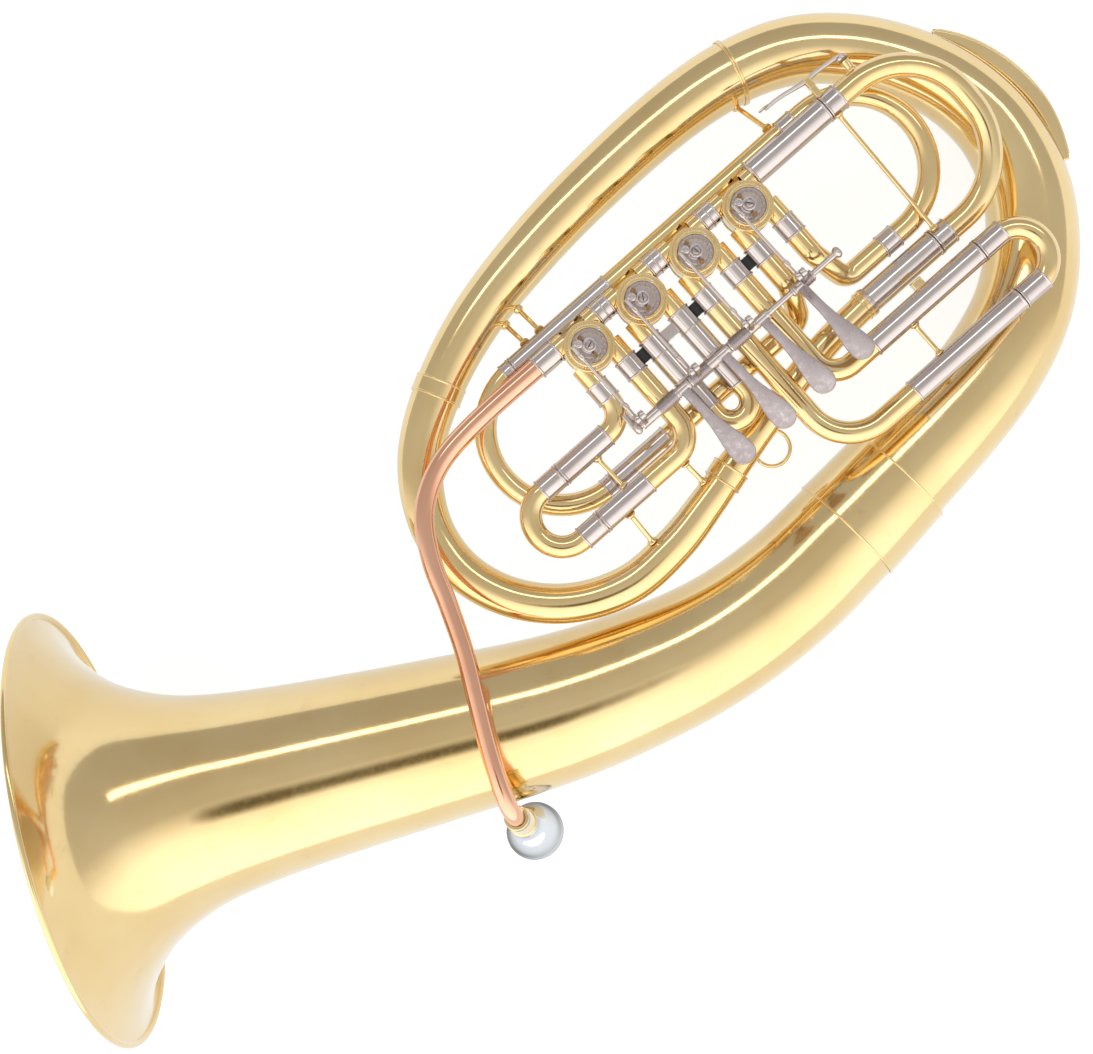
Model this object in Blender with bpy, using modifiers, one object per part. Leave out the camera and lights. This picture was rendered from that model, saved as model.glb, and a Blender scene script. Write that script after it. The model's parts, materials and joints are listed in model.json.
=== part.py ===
"""Oval baritone horn with four rotary valves.

The horn is laid out in its own frame, in millimetres: x runs along the row of valves from
the first to the fourth, y points from the finger levers to the top of the oval, and z points
out of the valve side. The empty horn_frame turns that frame so that the horn lies on a table
with its levers up.
"""

import math

import bmesh
import bpy
from mathutils import Euler, Matrix, Vector

MM = 0.001
GAP = 0.3

# How the horn lies: its valve frame is tipped about x and y, then lifted onto the table.
REST_TILT_X = 1.0025
REST_TILT_Y = 10.3103
REST_LOCATION = (0.106223, 0.063997, 0.140746)

# Valves
VALVE_COUNT = 4
VALVE_PITCH = 44.7
VALVE_Y = -2.0
CASING_RADIUS = 16.5
CASING_WALL = 2.4
CASING_BOTTOM = -13.5
CASING_TOP = 12.5
CASING_FLOOR = 2.0
STUB_SIDES = 10
PORT_OFFSET = 12.3
ROTOR_REST_ANGLE = -45.0
STOP_RADIUS = 6.5
STOP_Z = 21.0
CAP_RADIUS = 14.6
CAP_HEIGHT = 3.2

# Cylindrical tubing
TUBE_RADIUS = 7.4
TUBE_SIDES = 8
BEND_STEP = 36.0
WALL = 0.6
SLEEVE_RADIUS = 7.9
FACET = math.cos(math.pi / TUBE_SIDES)
INNER_RADIUS = (SLEEVE_RADIUS - WALL) * FACET - GAP / 2
MAIN_SLEEVE_RADIUS = 9.0
MAIN_INNER_RADIUS = (MAIN_SLEEVE_RADIUS - WALL) * FACET - GAP / 2
STEP = 0.5
ROW_LINE_Y = VALVE_Y + PORT_OFFSET
PORT_END_Y = -22.0
LOOP_Z = -20.0
MAIN_LOW_Z = -18.0

# Lever works
AXLE_Y = -61.5
AXLE_Z = 12.5
AXLE_RADIUS = 2.0
SLEEVE_BORE = AXLE_RADIUS + GAP
LEVER_SLEEVE_RADIUS = 3.6
LEVER_REST_ANGLE = 22.0
CRANK_LENGTH = 24.0
CRANK_LEAN = LEVER_REST_ANGLE / 2
LINK_OFFSET = -5.5
EYE_OFFSET = -4.0

# The bell is a surface turned about its axis: distance from the rim, then radius.
BELL_FLARE = ((0.0, 147.0), (4.0, 134.0), (11.0, 120.0), (22.0, 105.5), (38.0, 91.0), (56.0, 80.5),
              (78.0, 72.0), (104.0, 66.5), (140.0, 62.0), (185.0, 58.2), (240.0, 54.5))
BELL_RIM = (-460.0, -17.0, -76.0)
BELL_TAIL_START = (-244.0, -127.5, -58.0)
# Knots of the wide conical tube from the bell throat to the valves: x, y, z, radius.
BELL_TAIL = ((-167.0, -165.5, -52.0, 49.3), (-100.0, -190.0, -48.5, 45.0), (-50.0, -201.5, -47.0, 42.2),
             (0.0, -205.0, -46.0, 40.6), (50.0, -202.0, -45.5, 39.5))
BOW = ((99.0, -197.5, -45.5, 37.8), (160.0, -191.5, -47.0, 35.8), (201.0, -183.0, -49.5, 34.8),
       (237.0, -168.0, -52.5, 33.6), (268.0, -143.0, -56.0, 32.0), (291.0, -111.0, -58.0, 30.2),
       (302.0, -72.0, -58.5, 28.2), (299.0, -35.0, -57.0, 26.8), (285.0, 0.0, -54.5, 25.6),
       (262.0, 33.0, -51.5, 24.4), (231.0, 58.5, -48.5, 23.5), (192.0, 73.0, -45.5, 22.4))
BRANCH = ((145.0, 79.0, -42.5, 21.3), (80.0, 78.5, -39.0, 20.2), (20.0, 73.5, -36.5, 19.2),
          (-40.0, 62.5, -34.5, 17.8), (-90.0, 43.5, -32.0, 16.5))
BRANCH_END = ((-128.0, 18.0, -30.0, 15.4), (-151.0, -17.0, -27.5, 14.4), (-156.0, -53.0, -25.5, 13.9),
              (-144.0, -88.0, -23.5, 13.5), (-117.0, -117.0, -21.5, 13.3), (-80.0, -133.0, -20.0, 13.2),
              (-40.0, -133.0, -18.5, 12.9), (-4.0, -126.0, MAIN_LOW_Z, 12.0),
              (12.0, -122.0, MAIN_LOW_Z, 11.4))
RECEIVER = ((13.5, -121.6, MAIN_LOW_Z, 11.2), (50.0, -113.5, MAIN_LOW_Z, 10.1),
            (86.0, -106.0, MAIN_LOW_Z, 9.7), (120.0, -100.5, MAIN_LOW_Z, 9.4),
            (154.5, -98.5, MAIN_LOW_Z, 9.2))
SHEET = 0.6
BELL_SIDES = 20

# Slides run along x, apart from the second valve's, which runs along y.
MAIN_TOP_Y = 12.0
MAIN_LOW_Y = -98.5
MAIN_JOINT_X = 213.0
MAIN_CROOK_END_X = 289.0
V1_LEG_YS = (-51.0, -91.0)
V1_JOINT_X = -67.0
V1_CROOK_END_X = -104.0
V2_JOINT_Y = -58.0
V2_CROOK_END_Y = -100.3
V3_LEG_YS = (-121.0, -161.0)
V3_JOINT_X = 227.0
V3_CROOK_END_X = 262.0
V4_LEG_YS = (20.5, -78.0)
V4_JOINT_X = -44.0
V4_CROOK_END_X = -96.0
V4_RIGHT_END_X = 253.5

# Leadpipe and mouthpiece
LEADPIPE = ((-35.0, ROW_LINE_Y, 0.0, 6.9), (-88.0, 9.8, 0.5, 6.8), (-122.0, 4.5, 2.0, 6.7),
            (-148.0, -11.0, 4.0, 6.6), (-165.0, -37.0, 6.0, 6.5), (-176.0, -66.0, 7.5, 6.4),
            (-188.0, -95.0, 9.0, 6.3), (-202.0, -122.0, 10.0, 6.2), (-215.0, -147.0, 10.5, 6.1),
            (-226.0, -171.0, 10.5, 6.0), (-232.0, -187.0, 7.5, 6.0), (-233.6, -194.5, 0.5, 6.0))
MOUTHPIECE_AXIS = Vector((-0.03, -0.3, -0.95)).normalized()
RECEIVER_TOP = Vector((-233.8, -196.0, -1.0))

WATER_KEY_PIVOT = (216.5, 33.0, 0.0)


def clear_scene():
    for old in list(bpy.data.objects):
        bpy.data.objects.remove(old, do_unlink=True)


def make_collection(name, hidden=False):
    group = bpy.data.collections.new(name)
    group.hide_render = hidden
    bpy.context.scene.collection.children.link(group)
    return group


def make_material(name, colour, roughness, metallic=1.0):
    material = bpy.data.materials.new(name)
    material.use_nodes = True
    shader = material.node_tree.nodes["Principled BSDF"]
    shader.inputs["Base Color"].default_value = (*colour, 1.0)
    shader.inputs["Roughness"].default_value = roughness
    shader.inputs["Metallic"].default_value = metallic
    return material


clear_scene()
PARTS = make_collection("baritone_horn")
CUTTERS = make_collection("cutters", hidden=True)
BRASS = make_material("lacquered_brass", (0.83, 0.62, 0.27), 0.16)
NICKEL = make_material("nickel_silver", (0.72, 0.69, 0.70), 0.2)
ROSE = make_material("rose_brass", (0.86, 0.48, 0.35), 0.18)
SILVER = make_material("silver_plate", (0.90, 0.90, 0.92), 0.1)
HORN_FRAME = bpy.data.objects.new("horn_frame", None)
PARTS.objects.link(HORN_FRAME)


# ---------------------------------------------------------------- shaping helpers

def metres(point):
    return Vector(point[:3]) * MM


def finish(obj, material, pivot=(0.0, 0.0, 0.0)):
    """Files a part under the horn frame, with its origin at the pivot and round faces smooth."""
    obj.data.materials.clear()
    obj.data.materials.append(material)
    shift = metres(pivot)
    obj.data.transform(Matrix.Translation(-shift) @ obj.matrix_world)
    obj.matrix_world = Matrix.Identity(4)
    obj.location = shift
    obj.parent = HORN_FRAME
    for group in list(obj.users_collection):
        group.objects.unlink(obj)
    PARTS.objects.link(obj)
    obj.data.shade_smooth()
    obj.data.set_sharp_from_angle(angle=math.radians(35.0))
    return obj


def finish_cutter(obj):
    for group in list(obj.users_collection):
        group.objects.unlink(obj)
    CUTTERS.objects.link(obj)
    obj.hide_render = True
    obj.display_type = "WIRE"
    return obj


def mesh_object(name, shape):
    mesh = bpy.data.meshes.new(name)
    shape.to_mesh(mesh)
    shape.free()
    obj = bpy.data.objects.new(name, mesh)
    bpy.context.scene.collection.objects.link(obj)
    return obj


def smooth_route(knots, spacing):
    """Points every spacing or so on a smooth curve through knots of any number of values."""
    knots = [Vector(k) for k in knots]
    ends = [knots[0] * 2 - knots[1], *knots, knots[-1] * 2 - knots[-2]]
    route = []
    for before, start, end, after in zip(ends, ends[1:], ends[2:], ends[3:]):
        length = (end - start).length
        leave = (end - before) * (length / ((end - start).length + (start - before).length))
        arrive = (after - start) * (length / ((after - end).length + (end - start).length))
        count = max(1, round(length / spacing))
        for i in range(count):
            t = i / count
            route.append(start * (2 * t**3 - 3 * t**2 + 1) + leave * (t**3 - 2 * t**2 + t)
                         + end * (3 * t**2 - 2 * t**3) + arrive * (t**3 - t**2))
    route.append(knots[-1])
    return route


def part_route(route, knot):
    """Parts a route at one of its knots: the two end rings are parallel and a gap apart."""
    joint = Vector(knot)
    at = min(range(len(route)), key=lambda i: (route[i] - joint).length)
    run = (route[at + 1] - route[at - 1]).normalized()
    head = [*route[:at], joint - run, joint]
    return head, [joint + run * GAP, joint + run * (1 + GAP), *route[at + 1:]]


def rounded_route(corners, turn=BEND_STEP):
    """Turns corners, each (point, bend radius), into a line with round bends."""
    route = [Vector(corners[0][0])]
    for (before, _), (corner, radius), (after, _) in zip(corners, corners[1:], corners[2:]):
        corner = Vector(corner)
        inward = (corner - Vector(before)).normalized()
        outward = (Vector(after) - corner).normalized()
        angle = inward.angle(outward)
        start = corner - inward * radius * math.tan(angle / 2)
        axis = inward.cross(outward).normalized()
        centre = start + axis.cross(inward) * radius
        count = max(2, round(math.degrees(angle) / turn))
        for i in range(count + 1):
            route.append(centre + Matrix.Rotation(angle * i / count, 3, axis) @ (start - centre))
    route.append(Vector(corners[-1][0]))
    return route


def with_radius(route, bands, default):
    """Gives each point (x, y, z) a radius, and adds rings where a band of another radius starts.

    A band is (axis, low, high, radius): the stretch of straight tube where that coordinate lies
    between low and high, for instance a ferrule or a sliding leg.
    """
    def radius_at(point):
        for test, radius in bands:
            if test(point):
                return radius
        return default

    dense = []
    for start, end in zip(route, route[1:]):
        count = max(1, math.ceil((end - start).length / STEP))
        dense += [start.lerp(end, i / count) for i in range(count)]
    dense.append(route[-1])
    keep = {tuple(p) for p in route}
    radii = [radius_at(p) for p in dense]
    shaped = []
    for i, (point, radius) in enumerate(zip(dense, radii)):
        changes = (i > 0 and radii[i - 1] != radius) or (i + 1 < len(radii) and radii[i + 1] != radius)
        if changes or tuple(point) in keep:
            shaped.append((*point, radius))
    return shaped


def sweep(name, knots, sides, closed_ends=False):
    """A round tube surface along knots (x, y, z, radius): a bevelled curve made into a mesh."""
    curve = bpy.data.curves.new(name + "_route", "CURVE")
    curve.dimensions = "3D"
    curve.bevel_depth = MM
    curve.bevel_resolution = (sides - 4) // 2
    curve.use_fill_caps = closed_ends
    curve.twist_mode = "MINIMUM"
    spline = curve.splines.new("POLY")
    spline.points.add(len(knots) - 1)
    for point, knot in zip(spline.points, knots):
        point.co = (*metres(knot), 1.0)
        point.radius = knot[3]
    guide = bpy.data.objects.new(name + "_guide", curve)
    bpy.context.scene.collection.objects.link(guide)
    bpy.context.view_layer.update()
    evaluated = guide.evaluated_get(bpy.context.evaluated_depsgraph_get())
    mesh = bpy.data.meshes.new_from_object(evaluated)
    mesh.name = name
    bpy.data.objects.remove(guide, do_unlink=True)
    shape = bmesh.new()
    shape.from_mesh(mesh)
    bmesh.ops.remove_doubles(shape, verts=shape.verts, dist=1e-6)
    bmesh.ops.recalc_face_normals(shape, faces=shape.faces)
    bpy.data.meshes.remove(mesh)
    return mesh_object(name, shape)


def pipe(name, knots, sides=TUBE_SIDES, wall=WALL):
    """A thin-walled tube, open at both ends."""
    obj = sweep(name, knots, sides)
    shell = obj.modifiers.new("wall", "SOLIDIFY")
    shell.thickness = wall * MM
    shell.offset = -1.0
    shell.use_even_offset = True
    return obj


def rod(name, start, end, radius, sides=8):
    return sweep(name, ((*start, radius), (*end, radius)), sides, closed_ends=True)


def cylinder(name, centre, radius, height, sides=20, axis="Z", top_radius=None):
    shape = bmesh.new()
    bmesh.ops.create_cone(shape, cap_ends=True, segments=sides, radius1=radius * MM,
                          radius2=(radius if top_radius is None else top_radius) * MM,
                          depth=height * MM)
    turn = {"X": Matrix.Rotation(math.pi / 2, 4, "Y"), "Y": Matrix.Rotation(math.pi / 2, 4, "X"),
            "Z": Matrix.Identity(4)}[axis]
    bmesh.ops.transform(shape, matrix=Matrix.Translation(metres(centre)) @ turn, verts=shape.verts)
    return mesh_object(name, shape)


def box(name, low, high):
    shape = bmesh.new()
    bmesh.ops.create_cube(shape, size=1.0)
    low, high = metres(low), metres(high)
    size = high - low
    place = Matrix.Translation((low + high) / 2) @ Matrix.Diagonal((*size, 1.0))
    bmesh.ops.transform(shape, matrix=place, verts=shape.verts)
    return mesh_object(name, shape)


def turned(name, profile, place, sides=20):
    """A closed body of revolution: profile (radius, height) from top to bottom, both in mm."""
    mesh = bpy.data.meshes.new(name)
    corners = [(radius * MM, 0.0, height * MM) for radius, height in profile]
    mesh.from_pydata(corners, [(i, i + 1) for i in range(len(corners) - 1)], [])
    obj = bpy.data.objects.new(name, mesh)
    bpy.context.scene.collection.objects.link(obj)
    screw = obj.modifiers.new("turn", "SCREW")
    screw.steps = sides
    screw.render_steps = sides
    screw.use_merge_vertices = True
    screw.merge_threshold = 1e-5
    obj.matrix_world = place
    return baked(obj)


def baked(obj):
    """The same object with its modifiers worked into its mesh."""
    bpy.context.view_layer.update()
    evaluated = obj.evaluated_get(bpy.context.evaluated_depsgraph_get())
    mesh = bpy.data.meshes.new_from_object(evaluated)
    shape = bmesh.new()
    shape.from_mesh(mesh)
    bmesh.ops.remove_doubles(shape, verts=shape.verts, dist=1e-7)
    bmesh.ops.recalc_face_normals(shape, faces=shape.faces)
    shape.to_mesh(mesh)
    shape.free()
    obj.modifiers.clear()
    obj.data = mesh
    return obj


def outline(name, points, low, high):
    """A flat plate with the given (x, y) outline between two heights."""
    curve = bpy.data.curves.new(name + "_outline", "CURVE")
    curve.dimensions = "2D"
    curve.fill_mode = "BOTH"
    curve.extrude = (high - low) * MM / 2
    spline = curve.splines.new("POLY")
    spline.points.add(len(points) - 1)
    for point, (x, y) in zip(spline.points, points):
        point.co = (x * MM, y * MM, 0.0, 1.0)
    spline.use_cyclic_u = True
    guide = bpy.data.objects.new(name + "_guide", curve)
    bpy.context.scene.collection.objects.link(guide)
    bpy.context.view_layer.update()
    evaluated = guide.evaluated_get(bpy.context.evaluated_depsgraph_get())
    mesh = bpy.data.meshes.new_from_object(evaluated)
    bpy.data.objects.remove(guide, do_unlink=True)
    shape = bmesh.new()
    shape.from_mesh(mesh)
    bmesh.ops.remove_doubles(shape, verts=shape.verts, dist=1e-6)
    bmesh.ops.translate(shape, verts=shape.verts, vec=(0.0, 0.0, (low + high) * MM / 2))
    bmesh.ops.recalc_face_normals(shape, faces=shape.faces)
    bpy.data.meshes.remove(mesh)
    return mesh_object(name, shape)


def combine(obj, others, operation="UNION"):
    """Joins others to the object, or cuts them from it, and works the result into its mesh."""
    for other in others:
        finish_cutter(other)
        step = obj.modifiers.new(other.name, "BOOLEAN")
        step.operation = operation
        step.solver = "EXACT"
        step.object = other
    obj = baked(obj)
    for other in others:
        bpy.data.objects.remove(other, do_unlink=True)
    return obj


def valve_x(number):
    return number * VALVE_PITCH


# ---------------------------------------------------------------- bell and conical tube

def build_bell():
    rim = Vector(BELL_RIM)
    along = (Vector(BELL_TAIL_START) - rim)
    knots = []
    for distance, radius in BELL_FLARE:
        knots.append((*(rim + along * (distance / along.length)), radius))
    tail = smooth_route([knots[-2], knots[-1], *BELL_TAIL], 42.0)
    bell = baked(pipe("bell", [*knots[:-2], *tail], sides=BELL_SIDES, wall=SHEET))
    bead = bmesh.new()
    ring = along.to_track_quat("Z", "Y").to_matrix().to_4x4()
    profile = bmesh.ops.create_circle(bead, segments=6, radius=2.2 * MM)["verts"]
    bmesh.ops.rotate(bead, verts=profile, matrix=Matrix.Rotation(math.pi / 2, 3, "X"))
    bmesh.ops.translate(bead, verts=profile, vec=(BELL_FLARE[0][1] * MM, 0.0, 0.0))
    bmesh.ops.spin(bead, geom=bead.verts[:] + bead.edges[:], axis=(0, 0, 1), cent=(0, 0, 0),
                   steps=BELL_SIDES, angle=2 * math.pi)
    bmesh.ops.remove_doubles(bead, verts=bead.verts, dist=1e-6)
    bmesh.ops.recalc_face_normals(bead, faces=bead.faces)
    bmesh.ops.transform(bead, matrix=Matrix.Translation(metres(rim)) @ ring, verts=bead.verts)
    finish(combine(bell, [mesh_object("rim_wire", bead)]), BRASS)


def build_conical_tube():
    collar = smooth_route([BELL_TAIL[-1], BOW[0]], 30.0)
    start, end = collar[0], collar[-1]
    ring = [(*(start.lerp(end, 0.03))[:3], start[3] + 1.0), (*(start.lerp(end, 0.95))[:3], end[3] + 1.0)]
    finish(pipe("bell_garland", ring, sides=BELL_SIDES, wall=0.65), BRASS)
    bow, rest = part_route(smooth_route([*BOW, *BRANCH, *BRANCH_END], 36.0), BOW[-1])
    branch, end = part_route(rest, BRANCH[-1])
    finish(pipe("outer_bow", bow, sides=16, wall=SHEET), BRASS)
    finish(pipe("top_branch", branch, sides=12, wall=SHEET), BRASS)
    finish(pipe("branch_crook", end, sides=12, wall=SHEET), BRASS)
    finish(pipe("tuning_receiver", smooth_route(RECEIVER, 36.0), sides=12, wall=SHEET), BRASS)
    middle = Vector(BRANCH_END[-1]).lerp(Vector(RECEIVER[0]), 0.5)
    run = (Vector(RECEIVER[0]) - Vector(BRANCH_END[-1])).normalized()
    ends = [(*(middle + run * side)[:3], BRANCH_END[-1][3] + 2.2) for side in (-3.5, 3.5)]
    finish(pipe("branch_ferrule", ends, sides=16, wall=0.7), BRASS)


def build_bow_guard():
    """A crescent plate standing on the outer side of the bow."""
    outer_edge = []
    route = smooth_route(BOW[5:9], 9.0)
    for before, here, after in zip(route, route[1:], route[2:]):
        run = Vector((after - before)[:2]).normalized()
        out = Vector((run.y, -run.x))
        share = (len(outer_edge) + 1) / (len(route) - 1)
        crown = 7.5 * math.sin(math.pi * share) ** 0.8
        base = Vector(here[:2]) + out * (here[3] + 0.6)
        outer_edge.append((base, base + out * (0.8 + crown)))
    points = [inner for inner, _ in outer_edge] + [outer for _, outer in reversed(outer_edge)]
    middle = BOW[7][2]
    finish(outline("bow_guard", points, middle - 7.0, middle + 7.0), BRASS)


# ---------------------------------------------------------------- valves

def build_valve(number):
    x = valve_x(number)
    label = str(number + 1)
    height = CASING_TOP - CASING_BOTTOM
    middle = (x, VALVE_Y, CASING_BOTTOM + height / 2)
    casing = cylinder("valve_casing_" + label, middle, CASING_RADIUS, height, 20)
    stub = TUBE_RADIUS - 0.1
    line = cylinder("line_stub", (x, ROW_LINE_Y, 0.0), stub, 2 * CASING_RADIUS, STUB_SIDES, "X")
    legs = [cylinder("leg_stub", (x + side * PORT_OFFSET, (VALVE_Y + PORT_END_Y) / 2, 0.0), stub,
                     VALVE_Y - PORT_END_Y, STUB_SIDES, "Y") for side in (-1, 1)]
    casing = combine(casing, [line, *legs])
    bore = cylinder("bore", (x, VALVE_Y, CASING_BOTTOM + CASING_FLOOR + height / 2),
                    CASING_RADIUS - CASING_WALL, height, 20)
    line = cylinder("line_bore", (x, ROW_LINE_Y, 0.0), stub - 0.8, 3 * CASING_RADIUS, STUB_SIDES, "X")
    legs = [cylinder("leg_bore", (x + side * PORT_OFFSET, PORT_END_Y / 2, 0.0), stub - 0.8,
                     -PORT_END_Y + 8.0, STUB_SIDES, "Y") for side in (-1, 1)]
    finish(combine(casing, [bore, line, *legs], "DIFFERENCE"), BRASS)

    pivot = (x, VALVE_Y, 0.0)
    body_low, body_high = CASING_BOTTOM + CASING_FLOOR + GAP, CASING_TOP - 2.0
    core = CASING_RADIUS - CASING_WALL - GAP
    profile = ((0.0, STOP_Z - 2.5), (2.4, STOP_Z - 2.5), (2.4, body_high), (core, body_high),
               (core, body_low), (0.0, body_low))
    rotor = turned("rotor_" + label, profile, Matrix.Translation(metres(pivot)), 16)
    passages = []
    for side in (1, -1):
        cut = cylinder("passage", (x, VALVE_Y + side * (core + 2.0), 0.0), 7.0, 40.0, TUBE_SIDES, "X")
        passages.append(cut)
    finish(combine(rotor, passages, "DIFFERENCE"), NICKEL, pivot)

    cap_low = CASING_TOP + GAP
    cap_high = cap_low + CAP_HEIGHT
    profile = ((3.0, cap_high), (CAP_RADIUS - 2.5, cap_high), (CAP_RADIUS, cap_low + 1.4),
               (CAP_RADIUS, cap_low), (3.0, cap_low), (3.0, cap_high))
    finish(turned("valve_cap_" + label, profile, Matrix.Translation(metres(pivot)), 20), NICKEL)

    lean = Vector((LINK_OFFSET, 0.0, 0.0)).normalized()
    tip = Matrix.Rotation(math.radians(ROTOR_REST_ANGLE), 3, "Z") @ lean * STOP_RADIUS
    hub = cylinder("stop_arm_" + label, (x, VALVE_Y, STOP_Z), 4.6, 4.0, 14)
    end = Vector((x, VALVE_Y, STOP_Z)) + tip
    post = cylinder("stop_post", (end.x, end.y, STOP_Z + 1.0), 2.2, 6.0, 10)
    finish(combine(hub, [post]), NICKEL, pivot)
    return end


def build_connectors():
    for number in range(VALVE_COUNT - 1):
        low = valve_x(number) + CASING_RADIUS + GAP
        high = valve_x(number + 1) - CASING_RADIUS - GAP
        knots = ((low, ROW_LINE_Y, 0.0, SLEEVE_RADIUS), (high, ROW_LINE_Y, 0.0, SLEEVE_RADIUS))
        finish(pipe(f"valve_connector_{number + 1}", knots, wall=0.8), NICKEL)


# ---------------------------------------------------------------- levers and links

def build_axle():
    ends = ((-10.0, AXLE_Y, AXLE_Z), (157.0, AXLE_Y, AXLE_Z))
    axle = rod("lever_axle", *ends, AXLE_RADIUS, 12)
    left = cylinder("boss", (-12.0, AXLE_Y, AXLE_Z), 4.0, 5.0, 14, "X")
    foot = box("foot", (-14.5, -59.5, 7.9), (-9.5, -49.0, 11.5))
    right = cylinder("boss", (156.0, AXLE_Y, AXLE_Z), 3.6, 5.0, 14, "X")
    post = box("post", (153.5, AXLE_Y - 2.5, 5.5), (158.5, AXLE_Y + 2.5, AXLE_Z - 1.0))
    finish(combine(axle, [left, foot, right, post]), NICKEL)


def lever_span(number):
    """Where the sleeve of a lever starts and ends along the axle, and where its paddle leaves it."""
    spans = ((-8.5, 31.0, 26.5), (32.0, 64.5, 60.0), (65.5, 98.0, 93.0), (118.0, 136.0, 125.0))
    return spans[number]


def crank_tip(number):
    lean = math.radians(CRANK_LEAN)
    return Vector((valve_x(number) + LINK_OFFSET, AXLE_Y + CRANK_LENGTH * math.sin(lean),
                   AXLE_Z + CRANK_LENGTH * math.cos(lean)))


def build_lever(number):
    low, high, paddle_x = lever_span(number)
    crank_x = valve_x(number) + LINK_OFFSET
    pivot = ((low + high) / 2, AXLE_Y, AXLE_Z)
    sleeve = cylinder(f"lever_{number + 1}", pivot, LEVER_SLEEVE_RADIUS, high - low, 14, "X")
    crank = box("crank", (-1.6, -2.4, 0.0), (1.6, 2.4, CRANK_LENGTH))
    lean = Matrix.Rotation(math.radians(-CRANK_LEAN), 4, "X")
    crank.data.transform(Matrix.Translation(metres((crank_x, AXLE_Y, AXLE_Z))) @ lean)
    tip = crank_tip(number)
    boss = cylinder("boss", tip, 2.9, 3.8, 12, "X")
    pin = cylinder("pin", tip + Vector((-2.0, 0.0, 0.0)), 1.4, 8.2, 12, "X")
    half_arm, half_tip = 3.2, 8.0
    shape = [(-half_arm, 0.0), (-half_arm, -22.0), (-half_arm - 0.8, -34.0), (-half_tip, -54.0)]
    for i in range(7):
        turn = math.pi + math.pi * i / 6
        shape.append((half_tip * math.cos(turn), -59.0 + half_tip * math.sin(turn)))
    shape += [(half_tip, -54.0), (half_arm + 0.8, -34.0), (half_arm, -22.0), (half_arm, 0.0)]
    paddle = outline("paddle", shape, -0.9, 0.9)
    rise = Matrix.Rotation(math.radians(-LEVER_REST_ANGLE), 4, "X")
    seat = Matrix.Translation(metres((paddle_x, AXLE_Y, AXLE_Z + 1.5)))
    paddle.data.transform(seat @ rise)
    lever = combine(sleeve, [crank, boss, pin, paddle])
    bore = cylinder("bore", pivot, SLEEVE_BORE, high - low + 4.0, 12, "X")
    finish(combine(lever, [bore], "DIFFERENCE"), NICKEL, pivot)


def build_link(number, stop):
    """The rod from a crank to its stop arm, turning on the crank's pin."""
    start = crank_tip(number) + Vector((EYE_OFFSET, 0.0, 0.0))
    x = start.x
    end = Vector((x, stop.y, STOP_Z + 8.0))
    run = (end - start).normalized()
    link = rod(f"link_{number + 1}", start + run * 2.6, end, 1.3)
    eye = cylinder("eye", start, 3.2, 3.0, 12, "X")
    socket = cylinder("socket", (stop.x - 1.0, stop.y, STOP_Z + 6.2), 2.8, 3.6, 12)
    web = box("web", (x - 1.2, stop.y - 1.5, STOP_Z + 5.2), (stop.x - 1.0, stop.y + 1.5, STOP_Z + 7.6))
    bore = cylinder("bore", start, 1.7, 6.0, 12, "X")
    finish(combine(combine(link, [eye, socket, web]), [bore], "DIFFERENCE"), NICKEL, start)


# ---------------------------------------------------------------- valve slides

def x_between(low, high):
    return lambda point: low <= point.x <= high


def y_between(low, high):
    return lambda point: low <= point.y <= high


def ferrule_band(radius=SLEEVE_RADIUS):
    return (lambda point: point.y > -36.0 and point.z > -1.0, radius)


def port(number, side):
    return (valve_x(number) + side * PORT_OFFSET, PORT_END_Y - GAP, 0.0)


def build_first_slide():
    high_y, low_y = V1_LEG_YS
    left, right = port(0, -1), port(0, 1)
    bands = [ferrule_band(), (x_between(V1_JOINT_X, -28.0), SLEEVE_RADIUS)]
    a = rounded_route([(left, 0), ((left[0], high_y, 0), 15), ((V1_JOINT_X, high_y, 0), 0)])
    b = rounded_route([(right, 0), ((right[0], low_y, 0), 17), ((V1_JOINT_X, low_y, 0), 0)])
    tube_a = baked(pipe("first_valve_tubes", with_radius(a, bands, TUBE_RADIUS)))
    tube_b = baked(pipe("lower_tube", with_radius(b, bands, TUBE_RADIUS)))
    brace = rod("brace", (-43.0, high_y - 7.3, 0.0), (-42.0, low_y + 7.3, 0.0), 1.5)
    finish(combine(tube_a, [tube_b, brace]), BRASS)
    legs = [(x_between(V1_JOINT_X - GAP, 0.0), INNER_RADIUS),
            (x_between(-84.0, V1_JOINT_X - GAP), SLEEVE_RADIUS)]
    crook = rounded_route([((-33.5, high_y, 0), 0), ((V1_CROOK_END_X, high_y, 0), 19.9),
                           ((V1_CROOK_END_X, low_y, 0), 19.9), ((-33.5, low_y, 0), 0)])
    finish(pipe("first_valve_slide", with_radius(crook, legs, TUBE_RADIUS)), BRASS, (V1_JOINT_X, -71.0, 0.0))


def build_second_slide():
    left, right = port(1, -1), port(1, 1)
    sleeves = []
    for name, start in (("second_valve_tubes", left), ("right_tube", right)):
        knots = ((*start, SLEEVE_RADIUS), (start[0], V2_JOINT_Y, 0.0, SLEEVE_RADIUS))
        sleeves.append(baked(pipe(name, knots)))
    plate = box("plate", (left[0] + 7.3, -33.0, -1.5), (right[0] - 7.3, -25.0, 1.5))
    finish(combine(sleeves[0], [sleeves[1], plate]), NICKEL)
    legs = [(y_between(V2_JOINT_Y - GAP, 0.0), INNER_RADIUS),
            (y_between(-83.0, V2_JOINT_Y - GAP), SLEEVE_RADIUS)]
    crook = rounded_route([((left[0], -26.0, 0), 0), ((left[0], V2_CROOK_END_Y, 0), 12.2),
                           ((right[0], V2_CROOK_END_Y, 0), 12.2), ((right[0], -26.0, 0), 0)])
    centre = (valve_x(1), V2_JOINT_Y, 0.0)
    finish(pipe("second_valve_slide", with_radius(crook, legs, TUBE_RADIUS)), BRASS, centre)


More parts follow.
